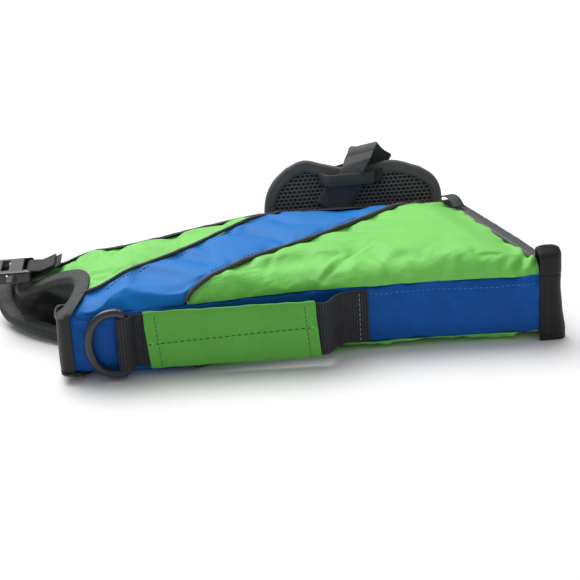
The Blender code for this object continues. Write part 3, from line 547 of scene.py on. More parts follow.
def surface_of(*objects):
    """One tree over the objects' present surfaces, in pattern millimetres."""
    depsgraph = bpy.context.evaluated_depsgraph_get()
    points, faces = [], []
    for obj in objects:
        shown = obj.evaluated_get(depsgraph)
        mesh = shown.to_mesh()
        base = len(points)
        points.extend([np.array(obj.matrix_world @ v.co) * 1000 + ORIGIN for v in mesh.vertices])
        faces.extend([[base + i for i in p.vertices] for p in mesh.polygons])
        shown.to_mesh_clear()
    return BVHTree.FromPolygons([tuple(p) for p in points], faces)


# One stitch: share of its length, thickness and height, the last two as shares of its radius
STITCH_PROFILE = ((0.0, 0.25, -0.3), (0.18, 0.9, 0.1), (0.5, 1.0, 0.35), (0.82, 0.9, 0.1),
                  (1.0, 0.25, -0.3))
STITCH_SIDES = 5
STITCH_REACH = 6.0        # a row further than this from its cloth leaves a stitch out
SHORTEST_STITCH = 0.5


def stitches(name, line, on, body, colour, slot, length=2.5, gap=1.1, radius=0.32, facing=None):
    """A row of stitches along points, each a short thread laid on a surface."""
    path = Line(line, curved=False)
    tree = surface_of(*on)
    count = max(1, int(path.length / (length + gap)))
    turns = np.linspace(0, 2 * math.pi, STITCH_SIDES, endpoint=False)
    points, faces = [], []
    for k in range(count):
        start = (k * (length + gap)) / path.length
        ends = path.at([start, start + length / path.length])
        found = [tree.find_nearest(Vector(e)) for e in ends]
        if any(f[0] is None or f[3] > STITCH_REACH for f in found):
            continue
        a, b = np.array(found[0][0]), np.array(found[1][0])
        if np.linalg.norm(b - a) < SHORTEST_STITCH:
            continue
        normal = np.array(found[0][1])
        if facing is not None and np.dot(normal, facing) < 0:
            normal = -normal
        along = (b - a) / np.linalg.norm(b - a)
        side = np.cross(along, normal)
        side /= np.linalg.norm(side)
        base = len(points)
        for share, swell, rise in STITCH_PROFILE:
            centre = a + (b - a) * share + normal * rise * radius
            for t in turns:
                points.append(centre + swell * radius * (side * math.cos(t) + normal * math.sin(t)))
        for at in range(base, len(points) - STITCH_SIDES, STITCH_SIDES):
            for j in range(STITCH_SIDES):
                m = (j + 1) % STITCH_SIDES
                faces.append([at + j, at + m, at + STITCH_SIDES + m, at + STITCH_SIDES + j])
        faces.append([base + j for j in range(STITCH_SIDES)])
        faces.append([len(points) - STITCH_SIDES + j for j in range(STITCH_SIDES)][::-1])
    obj = link_mesh(name, points, faces, None, THREADS[colour], slot)
    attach(obj, body)
    return obj


# ---------------------------------------------------------------- cloth blown up between its seams

class Pad:
    """A sheet pinned round its rim, and what its cloth does."""

    def __init__(self, obj, shape, pressure, grow, cap, floor=None):
        self.obj = obj
        nu, nv = shape
        index = np.arange(nu * nv).reshape(nu, nv)
        self.rim = np.unique(np.concatenate([index[0], index[-1], index[:, 0], index[:, -1]]))
        self.pressure = pressure
        self.grow = grow
        self.cap = cap
        self.floor = floor


pads = []
SIM_FRAMES = 16
CLOTH_SETTINGS = {"quality": 5, "mass": 0.3, "tension_stiffness": 12, "compression_stiffness": 12,
                  "shear_stiffness": 4, "bending_stiffness": 0.25, "vertex_group_mass": "held",
                  "use_pressure": True}


def settle(all_pads):
    """Run every pad's cloth at once, cap how far its points move, and keep the result."""
    scene = bpy.context.scene
    rest = {}
    for pad in all_pads:
        rest[pad.obj.name] = points_of(pad.obj.data)
        group = pad.obj.vertex_groups.new(name="held")
        group.add([int(i) for i in pad.rim], 1.0, "REPLACE")
        cloth = pad.obj.modifiers.new("cloth", "CLOTH")
        for setting, value in CLOTH_SETTINGS.items():
            setattr(cloth.settings, setting, value)
        cloth.settings.shrink_min = -pad.grow
        cloth.settings.uniform_pressure_force = pad.pressure
        cloth.settings.effector_weights.gravity = 0
        cloth.collision_settings.use_collision = False
        cloth.point_cache.frame_start = 1
        cloth.point_cache.frame_end = SIM_FRAMES
    scene.frame_start = 1
    scene.frame_end = SIM_FRAMES
    for number in range(1, SIM_FRAMES + 1):
        scene.frame_set(number)
    depsgraph = bpy.context.evaluated_depsgraph_get()
    for pad in all_pads:
        before = rest[pad.obj.name]
        move = points_of(pad.obj.evaluated_get(depsgraph).to_mesh()) - before
        size = np.linalg.norm(move, axis=1)
        cap = pad.cap / 1000
        softened = cap * np.tanh(size / cap)
        move = move * np.where(size > 1e-9, softened / np.maximum(size, 1e-9), 1)[:, None]
        pad.obj.modifiers.remove(pad.obj.modifiers["cloth"])
        pad.obj.vertex_groups.clear()
        result = before + move
        if pad.floor is not None:
            result[:, 2] = np.maximum(result[:, 2], pad.floor / 1000)
        pad.obj.data.vertices.foreach_set("co", result.ravel())
        pad.obj.data.update()
    scene.frame_set(1)


def subdivided(obj, levels=1):
    """Apply subdivision now, so that a bend across a joint sees the final mesh."""
    modifier = obj.modifiers.new("smooth", "SUBSURF")
    modifier.levels = modifier.render_levels = levels
    depsgraph = bpy.context.evaluated_depsgraph_get()
    mesh = bpy.data.meshes.new_from_object(obj.evaluated_get(depsgraph))
    obj.modifiers.clear()
    old = obj.data
    obj.data = mesh
    bpy.data.meshes.remove(old)
    return obj


# ---------------------------------------------------------------- spine shape

def spine_y(x):
    """The spine's outer face: it bows towards the neck end and a little at the tail."""
    return -12 * (1 - smooth((x - 50) / 130)) - 4 * smooth((x - 230) / 90)


# ---------------------------------------------------------------- flanks

class Flank:
    """One side of the jacket, drawn on the same curves as its CAD solids.

    hinge is the z of its fold beside the spine, flat the z of its outer face (the shell), up the
    way that face looks, and bend the radius of its rounded shoulder. The shell comes in by
    seam_rise at its seams and rolls over by edge_drop at the far edge.
    """

    def __init__(self, side, hinge, flat, up, bend, seam_rise, edge_drop, neck, tip, armhole,
                 front_seam):
        self.side = side
        self.body = f"{side}_side"
        self.hinge = hinge
        self.flat = flat
        self.up = up
        self.bend = bend
        self.seam_rise = seam_rise
        self.edge_drop = edge_drop
        self.neck = Line(neck)
        self.tip = Line(tip)
        self.armhole = Line(armhole)
        self.belly = Line([(168, 160), (230, 159), (293, 157)])
        self.rear = Line([(332, 0), (332.5, 9), (332, 20), (316, 78), (293, 157)])
        self.front_seam = Line(front_seam)
        self.rear_seam = Line([(88, 0), (98, 5), (113, 14), (135, 32), (172, 58), (211, 90),
                               (254, 130), (275, 158)])
        self.to_seam = self.neck.nearest(front_seam[0])
        self.past_spine = self.neck.nearest(self.neck.at(0)[0] + (10, 9.2))
        outline = chained(self.neck, self.tip, self.armhole, self.belly, self.rear.part(1, 0))
        self.outline = outline.at(np.linspace(0, 1, 160))
        self.far_edge = chained(self.armhole.part(0.12, 1), self.belly).at(np.linspace(0, 1, 80))

    def to_w(self, y):
        """Distance over the rounded shoulder, from the distance in plan."""
        over = self.bend * np.arccos(np.clip(1 - np.clip(y, 0, self.bend) / self.bend, -1, 1))
        return np.where(y < self.bend, over, y + self.bend * (math.pi / 2 - 1))

    def from_w(self, w):
        """Distance in plan, and the share of the full height there."""
        w = 0.5 * (w + np.hypot(w, 1.0))
        turn = np.minimum(w / self.bend, math.pi / 2)
        y = np.where(w < self.bend * math.pi / 2, self.bend * (1 - np.cos(turn)),
                     w - self.bend * (math.pi / 2 - 1))
        return y, np.sin(turn)

    def over(self, line):
        """A line in (x, y) measured over the fabric instead."""
        p = line.at(np.linspace(0, 1, 120))
        return Line(np.stack([p[:, 0], self.to_w(p[:, 1])], 1), curved=False)

    def closeness(self, x, y):
        """1 at a sewn edge, 0 where the padding is full."""
        away = distance_to(self.outline, x, y)
        return smooth((PAD_FULL - away) / (PAD_FULL - PAD_START))

    def lift(self, x, y):
        """How far the neck flap curls up or hangs down."""
        if self.side == "right":
            return -26 * smooth((30 - x) / 72)
        return 3 * smooth((24 - x) / 62) + 13 * smooth((y - 92) / 40) * smooth((60 - x) / 50)

    def shell_z(self, x, y):
        rolled = self.edge_drop * smooth(1 - distance_to(self.far_edge, x, y) / 12)
        return self.flat - self.up * (self.seam_rise * self.closeness(x, y) + rolled) + self.lift(x, y)

    def lining_z(self, x, y):
        thick = SEAM + (PADDING - SEAM) * (1 - self.closeness(x, y))
        return self.shell_z(x, y) - self.up * thick

    def to_spine(self, x, y):
        """Near the spine the shell leans out to meet the spine's bowed face."""
        return y + spine_y(x) * (1 - smooth(y / 46))

    def shell(self, plan):
        x, w = plan[..., 0], plan[..., 1]
        y, share = self.from_w(w)
        z = self.hinge + (self.shell_z(x, y) - self.hinge) * share
        return np.stack([x, self.to_spine(x, y), z], -1)

    def faces(self, x, y):
        """Shell and lining points over plan points, both drawn in to the fold beside the spine."""
        y = np.maximum(y, 0.0)
        share = self.from_w(self.to_w(y))[1]
        shell_z = self.hinge + (self.shell_z(x, y) - self.hinge) * share
        lining_z = self.hinge + (self.lining_z(x, y) - self.hinge) * share
        return (np.stack([x, self.to_spine(x, y), shell_z], -1),
                np.stack([x, np.maximum(y, SPINE_INSIDE + 0.6), lining_z], -1))

    def on_shell(self, line, inset, count):
        """Points on the shell beside a plan line, for a row of stitches."""
        t = np.linspace(0.01, 0.99, count)
        p = line.at(t) + inset * line.left(t)
        plan = np.stack([p[:, 0], self.to_w(p[:, 1])], 1)
        return self.shell(plan)

    def off_floor(self, points, height):
        """The left flank lies on the floor, so nothing of it is lower than height."""
        if self.side == "left":
            points[..., 2] = np.maximum(points[..., 2], height)
        return points

    def pleats(self, plan, seed, count, reach):
        """Folds that run from the seam beside the spine over the shoulder."""
        rng = np.random.default_rng(seed)
        x, w = plan[..., 0], plan[..., 1]
        height = np.zeros(x.shape)
        for _ in range(count):
            at = rng.uniform(95, 322)
            lean = rng.uniform(-0.5, 0.5)
            wide = rng.uniform(2.6, 6.0)
            long = rng.uniform(*reach)
            size = rng.uniform(0.35, 1.0)
            away = x - at - lean * w
            height += size * np.exp(-(away / wide) ** 2) * np.exp(-(w / long) ** 2)
        return height

    def creases(self, plan):
        """Deeper folds: two where the handle pulls at the shoulder, one tucked in at the tail."""
        x, w = plan[..., 0], plan[..., 1]
        height = np.zeros(x.shape)
        for at, lean, wide, centre, long, size in CREASES:
            away = x - at - lean * (w - centre)
            height += size * np.exp(-(away / wide) ** 2) * np.exp(-((w - centre) / long) ** 2)
        return height

    def panel(self, name, plan, slot, pressure, cap, grow, pleat=0.0):
        """One outer cloth, to be blown up between its seams."""
        surface = self.shell(plan)
        outward = (0, 0, self.up)
        obj = grid_mesh(f"{self.side}_{name}_cloth", surface, plan, slot, outward)
        nu, nv = surface.shape[:2]
        bulk = np.array([v.normal[:] for v in obj.data.vertices]).reshape(nu, nv, 3)
        relief = -PANEL_SINK + wander(plan[..., 0] / 300 + plan[..., 1] / 170, 0.35, (2, 3, 5), 7)
        if pleat:
            relief = relief + pleat * (self.pleats(plan, 3, 46, (9, 30)) - 0.4 + self.creases(plan))
        relief = np.maximum(relief, -1.3 - 0.9 * smooth(plan[..., 1] / 8))
        raised = self.off_floor(surface + bulk * relief[..., None], 0.3)
        obj.data.vertices.foreach_set("co", metres(raised).ravel())
        floor = 0.25 if self.side == "left" else None
        pads.append(Pad(obj, (nu, nv), pressure, grow, cap, floor))
        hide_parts(f"{self.side}_{name}")
        return obj

    def lining(self, name, plan):
        """One inner cloth, to be blown up between its seams."""
        x, y = plan[..., 0], plan[..., 1]
        surface = np.stack([x, y, self.lining_z(x, y)], -1)
        obj = grid_mesh(f"{self.side}_{name}_cloth", surface, plan, "lining_fabric", (0, 0, -self.up))
        pads.append(Pad(obj, surface.shape[:2], 2.5, 0.05, 3.0))
        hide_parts(f"{self.side}_{name}")
        return obj

    def binding(self, name, edge, lead=0.0, tail=0.0, width=BINDING_WIDTH, seed=1, material=None,
                colour="pale", at_spine=False):
        """Tape folded over a stretch of the sewn edge."""
        count = max(8, round(edge.length * (1 - lead - tail) / 2.0))
        t = np.linspace(lead, 1 - tail, count)
        base, outward = edge.at(t), edge.left(t)
        inside = SEAM / 2 + BINDING_ROOM
        section = []
        for thick, tuck, order in ((inside + TAPE, 0.9, 1), (inside, 0.5, -1)):
            side = [(-width, thick - tuck), (-width + 0.6, thick - 0.25 * tuck),
                    (-width * 0.5, thick + 0.12), (-1.2, thick)]
            section += folded_layer(side, thick)[::order]
        section = np.array(section)
        reach, height = section[:, 0], section[:, 1]
        swell = 1 + wander(t, 0.07, (5, 9, 14, 23), seed)
        held = base[:, None] + outward[:, None] * np.minimum(reach, 0)[None, :, None]
        shell, lining = self.faces(held[..., 0], held[..., 1])
        apart = shell - lining
        gap = np.linalg.norm(apart, axis=-1)[..., None]
        tall = (gap / 2 + BINDING_ROOM) / inside
        beyond = np.zeros(shell.shape)
        beyond[..., :2] = outward[:, None] * np.maximum(reach, 0)[None, :, None]
        stations = (shell + lining) / 2 + apart / gap * tall * (height[None] * swell[:, None])[..., None]
        stations = self.off_floor(stations + beyond, 0.1)
        body = None if at_spine else self.body
        obj = sweep(f"{self.side}_{name}_tape", stations, run_along(section), "binding_tape",
                    body=body, material=material)
        if at_spine:
            self.join_spine(obj)
        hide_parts(f"{self.side}_{name}")
        for face, label in ((1, "shell"), (-1, "lining")):
            row = base - outward * (width - 1.5)
            keep = row[:, 1] > 14
            row = row[keep]
            spot = self.shell_z(row[:, 0], row[:, 1]) - self.up * SEAM / 2 + self.up * face * 3.6
            line = np.concatenate([row, spot[:, None]], 1)
            stitches(f"{self.side}_{name}_{label}_stitches", line, [obj], self.body, colour,
                     "binding_tape", facing=(0, 0, self.up * face))
        return obj

    def piping(self, name, seam, radius):
        """Cord sewn into the seam between two panels."""
        over = self.over(seam)
        t = np.linspace(0.012, 0.982, round(seam.length / 2.2))
        plan = over.at(t)
        plan[:, 1] = np.maximum(plan[:, 1], radius)
        line = self.shell(plan)
        line[:, 2] += self.up * (0.1 + wander(t, 0.15, (6, 11, 17), 5))
        line = self.off_floor(line, radius + 0.1)
        obj = cord(f"{self.side}_{name}_cord", line, radius, "piping", None)
        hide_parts(f"{self.side}_{name}")
        self.join_spine(obj)
        return obj

    def join_spine(self, obj):
        """Cloth sewn beside the spine: bake its placement into its points."""
        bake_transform(obj)

    def build(self):
        """The cloths, before they are blown up."""
        neck_low = self.neck.part(0, self.to_seam, 12)
        neck_inside = self.neck.part(self.past_spine, self.to_seam, 12)
        neck_high = self.neck.part(1, self.to_seam, 60)
        rear_inside = self.rear.part(0.05, 1)
        over = self.over
        edge, seam = EDGE_GAP, SEAM_GAP
        shoulder = patch(over(neck_high), over(self.armhole), over(self.tip), over(self.front_seam),
                         (edge, edge, edge, seam))
        stripe = patch(over(Line([(2, 0), (88, 0)])), over(self.belly.part(0, 0.84)),
                       over(chained(neck_low, self.front_seam)), over(self.rear_seam),
                       (0, edge, seam, seam))
        rear = patch(over(Line([(88, 0), (332, 0)])), over(Line([(275, 158), (293, 157)])),
                     over(self.rear_seam), over(self.rear), (0, edge, seam, edge))
        lively = 1.0 if self.side == "right" else 0.5
        self.shoulder = self.panel("shoulder_panel", shoulder, "green_ripstop", 3.0, 3.2, 0.05)
        self.stripe = self.panel("stripe_panel", stripe, "blue_twill", 3.0, 2.8, 0.035, pleat=0.25)
        self.rear_panel = self.panel("rear_panel", rear, "green_ripstop", 3.2, 3.6, 0.05,
                                     pleat=1.2 * lively)
        front = chained(neck_inside, self.front_seam)
        start_x = front.at(0)[0][0]
        body = patch(Line([(start_x, INSIDE_Y), (332.4, INSIDE_Y)]), self.belly, front, rear_inside,
                     (0, edge, 0, edge), LINING_GRID)
        flap = patch(neck_high, self.armhole, self.tip, self.front_seam, (edge, edge, edge, 0),
                     LINING_GRID)
        self.body_lining = self.lining("body_lining", body)
        self.neck_lining = self.lining("neck_lining", flap)

    def finish(self):
        """What follows once the cloth has settled."""
        for obj in (self.stripe, self.rear_panel, self.shoulder):
            subdivided(obj)
        for obj in (self.stripe, self.rear_panel):
            self.join_spine(obj)
        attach(self.shoulder, self.body)
        for obj in (self.body_lining, self.neck_lining):
            subdivided(obj)
            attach(obj, self.body)
        self.piping("front_piping", self.front_seam, 1.35)
        self.piping("rear_piping", self.rear_seam, 1.75)
        front_edge = chained(self.neck, self.tip)
        self.binding("neck_binding", front_edge, lead=0.0, tail=0.03, seed=2, at_spine=True,
                     colour="dark")
        self.binding("armhole_binding", self.armhole, width=4.0, seed=3, colour="dark")
        self.binding("belly_binding", self.belly, lead=0.005, tail=0.01, width=3.4, seed=4,
                     colour="dark")
        self.binding("rear_binding", self.rear.part(1, 0), lead=0.005, tail=0.075, width=8.5, seed=5,
                     material=PALE_TAPE)
        # rows of stitching beside the piping, on the stripe
        for number, (line, inset) in enumerate(((self.front_seam, -4.4), (self.rear_seam, 4.4))):
            points = self.on_shell(line, inset, 90)
            stitches(f"{self.side}_stripe_stitches_{number}", points[8:], [self.stripe], self.body,
                     "blue", "blue_twill", facing=(0, 0, self.up))


left = Flank("left", hinge=SPINE_LOW, flat=0.0, up=-1, bend=8.0, seam_rise=2.8,
             edge_drop=0.0,
             neck=[(2, 0), (11, 8), (16, 18), (14, 36), (6, 48), (-6, 57), (-23, 70), (-38, 87),
                   (-48, 105), (-51, 120)],
             tip=[(-51, 120), (-51, 130), (-46, 138), (-38, 142), (-28, 142)],
             armhole=[(-28, 142), (-8, 139), (20, 129), (45, 122), (75, 125), (112, 142),
                      (145, 157), (168, 160)],
             front_seam=[(16, 18), (44, 28), (71, 46), (104, 76), (145, 126), (168, 160)])
right = Flank("right", hinge=SPINE_HIGH, flat=63.0, up=1, bend=14.0, seam_rise=7.0,
              edge_drop=4.5,
              neck=[(2, 0), (8, 8), (12, 16), (15, 31), (13, 46), (6, 59), (-7, 72), (-26, 85)],
              tip=[(-26, 85), (-32, 90), (-34, 99), (-32, 108), (-25, 114)],
              armhole=[(-25, 114), (-10, 113), (13, 106), (35, 106), (64, 118), (103, 139),
                       (145, 158), (168, 160)],
              front_seam=[(12, 16), (36, 23), (62, 37), (89, 61), (122, 99), (148, 130),
                          (168, 160)])
left.build()
right.build()


# ---------------------------------------------------------------- spine cloth

def band(name, ends, slot, bulge, node):
    """Outer cloth of the spine, rounded over its foam, its long edges turned in at the seams."""
    nu = round((ends[1] - ends[0]) / 3)
    x = np.linspace(*ends, nu + 1)[:, None]
    s = np.concatenate([[-1.05], np.linspace(-1, 1, 19), [1.05]])[None]
    x, s = np.broadcast_arrays(x, s)
    half = (SPINE_HIGH - SPINE_LOW) / 2
    turned_in = np.maximum(np.abs(s) - 1, 0) * 60
    z = SPINE_MIDDLE + half * s
    y = spine_y(x) - SPINE_CLOTH - bulge * (1 - np.minimum(np.abs(s), 1) ** 3.5) + 0.5 * np.abs(s) ** 8
    y = y + turned_in + wander(x / 80 + z / 55, 0.22, (1, 2, 4), 9)
    grid = np.stack([x, y, z], -1)
    # the band's cloth takes the darker twill copy: painted shade on the spine's front face
    obj = grid_mesh(name, grid, np.stack([x, z], -1), slot, OUT, material=SHADED_BAND_TWILL)
    pads.append(Pad(obj, grid.shape[:2], 1.6, 0.02, 1.2))
    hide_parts(node)
    return obj


spine_front = band("spine_front_panel_cloth", (4.0, 58.0), "blue_twill", 0.9, "spine_front_panel")
spine_long = band("spine_band_cloth", (57.0, 336.0), "blue_twill", 1.0, "spine_band")

inside_x = np.linspace(5, TAIL_END, 80)[:, None]
inside_z = np.linspace(SPINE_LOW - 2.0, SPINE_HIGH + 0.5, 14)[None]
inside_x, inside_z = np.broadcast_arrays(inside_x, inside_z)
inside_y = SPINE_INSIDE + wander(inside_x / 90 + inside_z / 40, 0.35, (1, 2, 3), 4)
spine_lining = grid_mesh("spine_lining_cloth", np.stack([inside_x, inside_y, inside_z], -1),
                         np.stack([inside_x, inside_z], -1), "lining_fabric", (0, 1, 0))
pads.append(Pad(spine_lining, inside_x.shape, 1.0, 0.04, 1.0))
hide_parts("spine_lining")

settle(pads)


def pressed(obj, low_x, high_x):
    """Lay the spine's cloth flat under the webbing and under the handle."""
    co = points_of(obj.data)
    x, y, z = (co * 1000 + ORIGIN).T
    beside = np.maximum(np.maximum(low_x - x, x - high_x), 0)
    above = np.maximum(np.abs(z - SPINE_MIDDLE) - HANDLE_WIDTH / 2 - 1, 0)
    limit = spine_y(x) - 0.85 - 0.3 * np.hypot(beside, above)
    co[:, 1] = (np.maximum(y, limit) - ORIGIN[1]) / 1000
    obj.data.vertices.foreach_set("co", co.ravel())
    obj.data.update()


pressed(spine_front, 44.0, 60.0)
pressed(spine_long, 57.0, 214.0)
left.finish()
right.finish()
for cloth in (spine_front, spine_long, spine_lining):
    subdivided(cloth)
    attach(cloth, "spine")

for z, label, colour in ((SPINE_LOW + 4.6, "low", "blue"), (SPINE_HIGH - 5.0, "high", "sky")):
    for cloth, ends in ((spine_front, (12, 40)), (spine_long, (213, 329))):
        x = np.linspace(*ends, 60)
        points = np.stack([x, spine_y(x) - 1.5, z + wander(x / 120, 0.6, (1, 2, 5), 8)], 1)
        stitches(f"{cloth.name}_stitches_{label}", points, [cloth], "spine", colour, "blue_twill",
                 facing=OUT)


# ---------------------------------------------------------------- tapes at the ends of the spine

def folded_edge(open_x, turn_x, end_x, near_y, far_y):
    """Plan of a tape folded round an end: open at open_x, its round bend out to end_x."""
    middle, half = (near_y + far_y) / 2, (far_y - near_y) / 2
    bend = [(turn_x + (end_x - turn_x) * math.sin(a), middle - half * math.cos(a))
            for a in np.linspace(0, math.pi, 17)]
    return [(open_x, near_y), *bend, (open_x, far_y)]


def end_tape(name, path, low, high, node, material=None, flare=0.0, pinch=0.0, seed=1):
    """Upright tape folded round one end of the jacket. pinch closes its two layers at the top."""
    line = Line([(x, y, 0) for x, y in path], curved=False)
    count = max(12, int(line.length / 1.1))
    t = np.linspace(0, 1, count)
    middle = line.at(t)
    normal = unit(np.cross(np.gradient(middle, axis=0), (0, 0, 1.0)))
    rows = max(5, round((high - low) / 2.0))
    heights = np.linspace(low, high, rows + 1)
    grid = middle[:, None] + np.stack([np.zeros(rows + 1), np.zeros(rows + 1), heights], 1)[None]
    ruffle = wander(heights / 60, 0.4, (1, 2, 3), seed)
    grid = grid + normal[:, None] * ruffle[None, :, None]
    if pinch:
        closing = 0.94 * smooth((heights - high + pinch) / pinch) ** 1.5
        centre = middle[:, 1].mean()
        grid[..., 1] = centre + (grid[..., 1] - centre) * (1 - closing[None])
        grid[..., 0] -= 1.6 * closing[None]
        middle_x = (middle[:, 0].min() + middle[:, 0].max()) / 2
        corner = np.abs((middle[:, 0] - middle_x) / (middle[:, 0].max() - middle_x)) ** 3
        grid[..., 2] -= 2.0 * corner[:, None] * smooth((heights - high + pinch) / pinch)[None]
    outer = smooth((grid[..., 0] - middle[:, 0].min()) / 8)
    grid[..., 0] += flare * outer * smooth((SPINE_MIDDLE + 8 - heights) / 32)[None]
    plan = np.stack(np.broadcast_arrays(heights[None], (t * line.length)[:, None]), -1)
    obj = grid_mesh(name, grid, plan, "binding_tape", OUT, material=material)
    thicken(obj, TAPE, 0)
    subdivided(obj)
    obj.data.shade_smooth()
    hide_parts(node)
    return obj


tape_out = SPINE_CLOTH + LAYER_GAP + TAPE / 2
neck_end = end_tape("spine_neck_tape", folded_edge(10.5, 5, 0.5, spine_y(0) - tape_out - 0.4,
                                                  SPINE_INSIDE + 1.0),
                    SPINE_LOW - 0.8, SPINE_HIGH + 1.2, "spine_neck_binding")
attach(neck_end, "spine")
tail_near = spine_y(TAIL_END) - tape_out - 0.6
TAIL_OPEN = 329.5
tail_path = folded_edge(TAIL_OPEN, TAIL_TIP - 6, TAIL_TIP, tail_near, SPINE_INSIDE + 2.0)
tail_mid = end_tape("spine_tail_tape", tail_path, 4.2, SPINE_HIGH + 0.6, "spine_tail_strip",
                    material=DARK_TAPE, flare=3.0, seed=2)
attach(tail_mid, "spine")
tail_top = end_tape("right_tail_tape", tail_path, SPINE_HIGH + 0.4, STRIP_TOP + 1.5,
                    "right_tail_strip", material=DARK_TAPE, pinch=7.0, seed=2)
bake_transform(tail_top)
tail_low = end_tape("left_tail_tape", tail_path, 0.3, 4.4, "left_tail_strip", material=DARK_TAPE,
                    flare=3.0, seed=2)
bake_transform(tail_low)
z = np.linspace(6, SPINE_HIGH - 1, 60)
points = np.stack([TAIL_OPEN + 5.5 + 0.02 * (SPINE_MIDDLE - z), np.full(60, tail_near - 1), z], 1)
stitches("tail_tape_stitches", points, [tail_mid], "spine", "dark", "binding_tape",
         facing=OUT)

# ---------------------------------------------------------------- lead ring and its webbing

RING_WIRE = 3.0
RING_BAR_X = 45.0
RING_APEX_X = 21.75
RING_HALF = 22.0
ON_SPINE = SPINE_CLOTH + LAYER_GAP + WEBBING / 2
RING_OUT = WEBBING / 2 + LAYER_GAP + 2.75      # the ring's middle lies this far off its webbing's
RING_Y = spine_y(RING_BAR_X) - ON_SPINE - RING_OUT


def lead_ring():
    """A D of round wire with its bar towards the handle."""
    corner = 4.0
    bow = [(RING_BAR_X - corner - (RING_BAR_X - corner - RING_APEX_X) * math.sin(a) ** 0.8,
            -RING_HALF * math.cos(a)) for a in np.linspace(0.001, math.pi - 0.001, 33)]
    shape = bow + [(RING_BAR_X - 1.2, RING_HALF - 0.9), (RING_BAR_X, RING_HALF - 4)]
    shape += [(RING_BAR_X, -RING_HALF + 4), (RING_BAR_X - 1.2, -RING_HALF + 0.9)]
    closed = Line(rounded(shape + shape[:1], 6), curved=False)
    ring_line = closed.at(np.linspace(0, 1, 120, endpoint=False))
    d_ring = cord("d_ring_moulded", [(x, RING_Y, SPINE_MIDDLE + z) for x, z in ring_line], RING_WIRE,
                  "ring_plastic", "lead_ring", sides=16, ring=True)
    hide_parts("d_ring")


lead_ring()


def looped(lead, bar, back, radius, count=11):
    """Webbing's way in along lead, half round a bar, and back."""
    side = 1 if bar[0] > lead[0][0] else -1
    turn = [(bar[0] + side * radius * math.sin(a), bar[1] - radius * math.cos(a))
            for a in np.linspace(0, math.pi, count)]
    return [*lead, *turn, *back]


def spine_webbing(name, points, body, node, curved=True):
    """The handle's wide webbing along (x, y) points, across the middle of the spine."""
    obj = strap(name, [(x, y, SPINE_MIDDLE) for x, y in points], (0, 0, 1), HANDLE_WIDTH, "webbing",
                body, curved=curved)
    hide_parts(node)
    return obj


web_y = spine_y(RING_BAR_X) - ON_SPINE
ring_loop = looped([(56, 0.3), (51, 0.2)], (RING_BAR_X, RING_OUT),
                   [(48.3, 6.6), (50.0, 4.6), (51.2, 2.0)], RING_WIRE + 0.2 + WEBBING / 2)
spine_webbing("d_ring_webbing_woven", [(x, web_y - out) for x, out in ring_loop], "spine",
              "d_ring_webbing", curved=False)

# ---------------------------------------------------------------- grab handle

HANDLE_START, HANDLE_END = 60.6, 178.0
HANDLE_Y = spine_y(58) - ON_SPINE
COVER_ENDS = (60.4, 176.0)
SLANT = 0.075             # the sleeve is sewn on a little askew
COVER_ROWS, COVER_COLUMNS = 64, 52
HEM_SHARE = 0.062         # share of the sleeve's length that is turned in at each end


def handle_y(x):
    """Middle of the handle, which stands off the spine a little more towards its rear end."""
    return HANDLE_Y - 2.0 - 3.6 * (x - HANDLE_START) / (HANDLE_END - HANDLE_START)


def sleeve():
    """The cover round the handle: a flattened, slightly crumpled tube, hemmed at both ends."""
    cover_t = np.linspace(0, 1, COVER_ROWS)
    angles = np.linspace(0, 2 * math.pi, COVER_COLUMNS + 1)[:-1]
    half_thick, half_wide = 2.5, HANDLE_WIDTH / 2 + 1.5
    cover = np.zeros((COVER_ROWS, COVER_COLUMNS, 3))
    for i, t in enumerate(cover_t):
        x = COVER_ENDS[0] + (COVER_ENDS[1] - COVER_ENDS[0]) * t
        inner = smooth(t / 0.1) * smooth((1 - t) / 0.1)
        hem = 0.5 * (smooth((HEM_SHARE - t) / 0.012) + smooth((t - 1 + HEM_SHARE) / 0.012))
        crumple = wander(t + angles / 9, 0.55, (2, 3, 5, 7, 12), 12) * inner
        c, s = np.cos(angles), np.sin(angles)
        flat = np.sign(s) * np.abs(s) ** 0.62
        thick = np.sign(c) * np.abs(c) ** 0.75
        seam = -0.55 * np.exp(-((s - 0.10 + 0.22 * t) / 0.07) ** 2) * (c > 0)
        height = (half_wide + 0.5 * hem + 0.4 * wander(t, 1, (2, 5, 9), 31)) * flat
        cover[i, :, 0] = x - SLANT * height + wander(angles / (2 * math.pi), 0.35, (2, 3, 5), 5)
        cover[i, :, 1] = handle_y(x) - (half_thick + hem + crumple + seam) * thick
        cover[i, :, 2] = SPINE_MIDDLE + height
    around = run_along(cover[0])
    cover_plan = np.stack(np.broadcast_arrays(cover[:, :1, 0], around[None]), -1)
    closed_cover = np.concatenate([cover, cover[:, :1]], axis=1)
    closed_plan = np.concatenate([cover_plan, cover_plan[:, :1] + (0, around[-1] + 2.5)], axis=1)
    # the sleeve takes the darker ripstop copy: painted shade on the handle's front face
    handle_cover = grid_mesh("handle_cover_cloth", closed_cover, closed_plan, "green_ripstop", (0, 1, 0),
                             material=SHADED_COVER_RIPSTOP)
    weld = bmesh.new()
    weld.from_mesh(handle_cover.data)
    bmesh.ops.remove_doubles(weld, verts=weld.verts, dist=1e-6)
    bmesh.ops.recalc_face_normals(weld, faces=weld.faces)
    weld.to_mesh(handle_cover.data)
    weld.free()
    thicken(handle_cover, 0.6, -1)
    subdivided(handle_cover)
    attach(handle_cover, "handle")
    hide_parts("handle_cover")
    return handle_cover


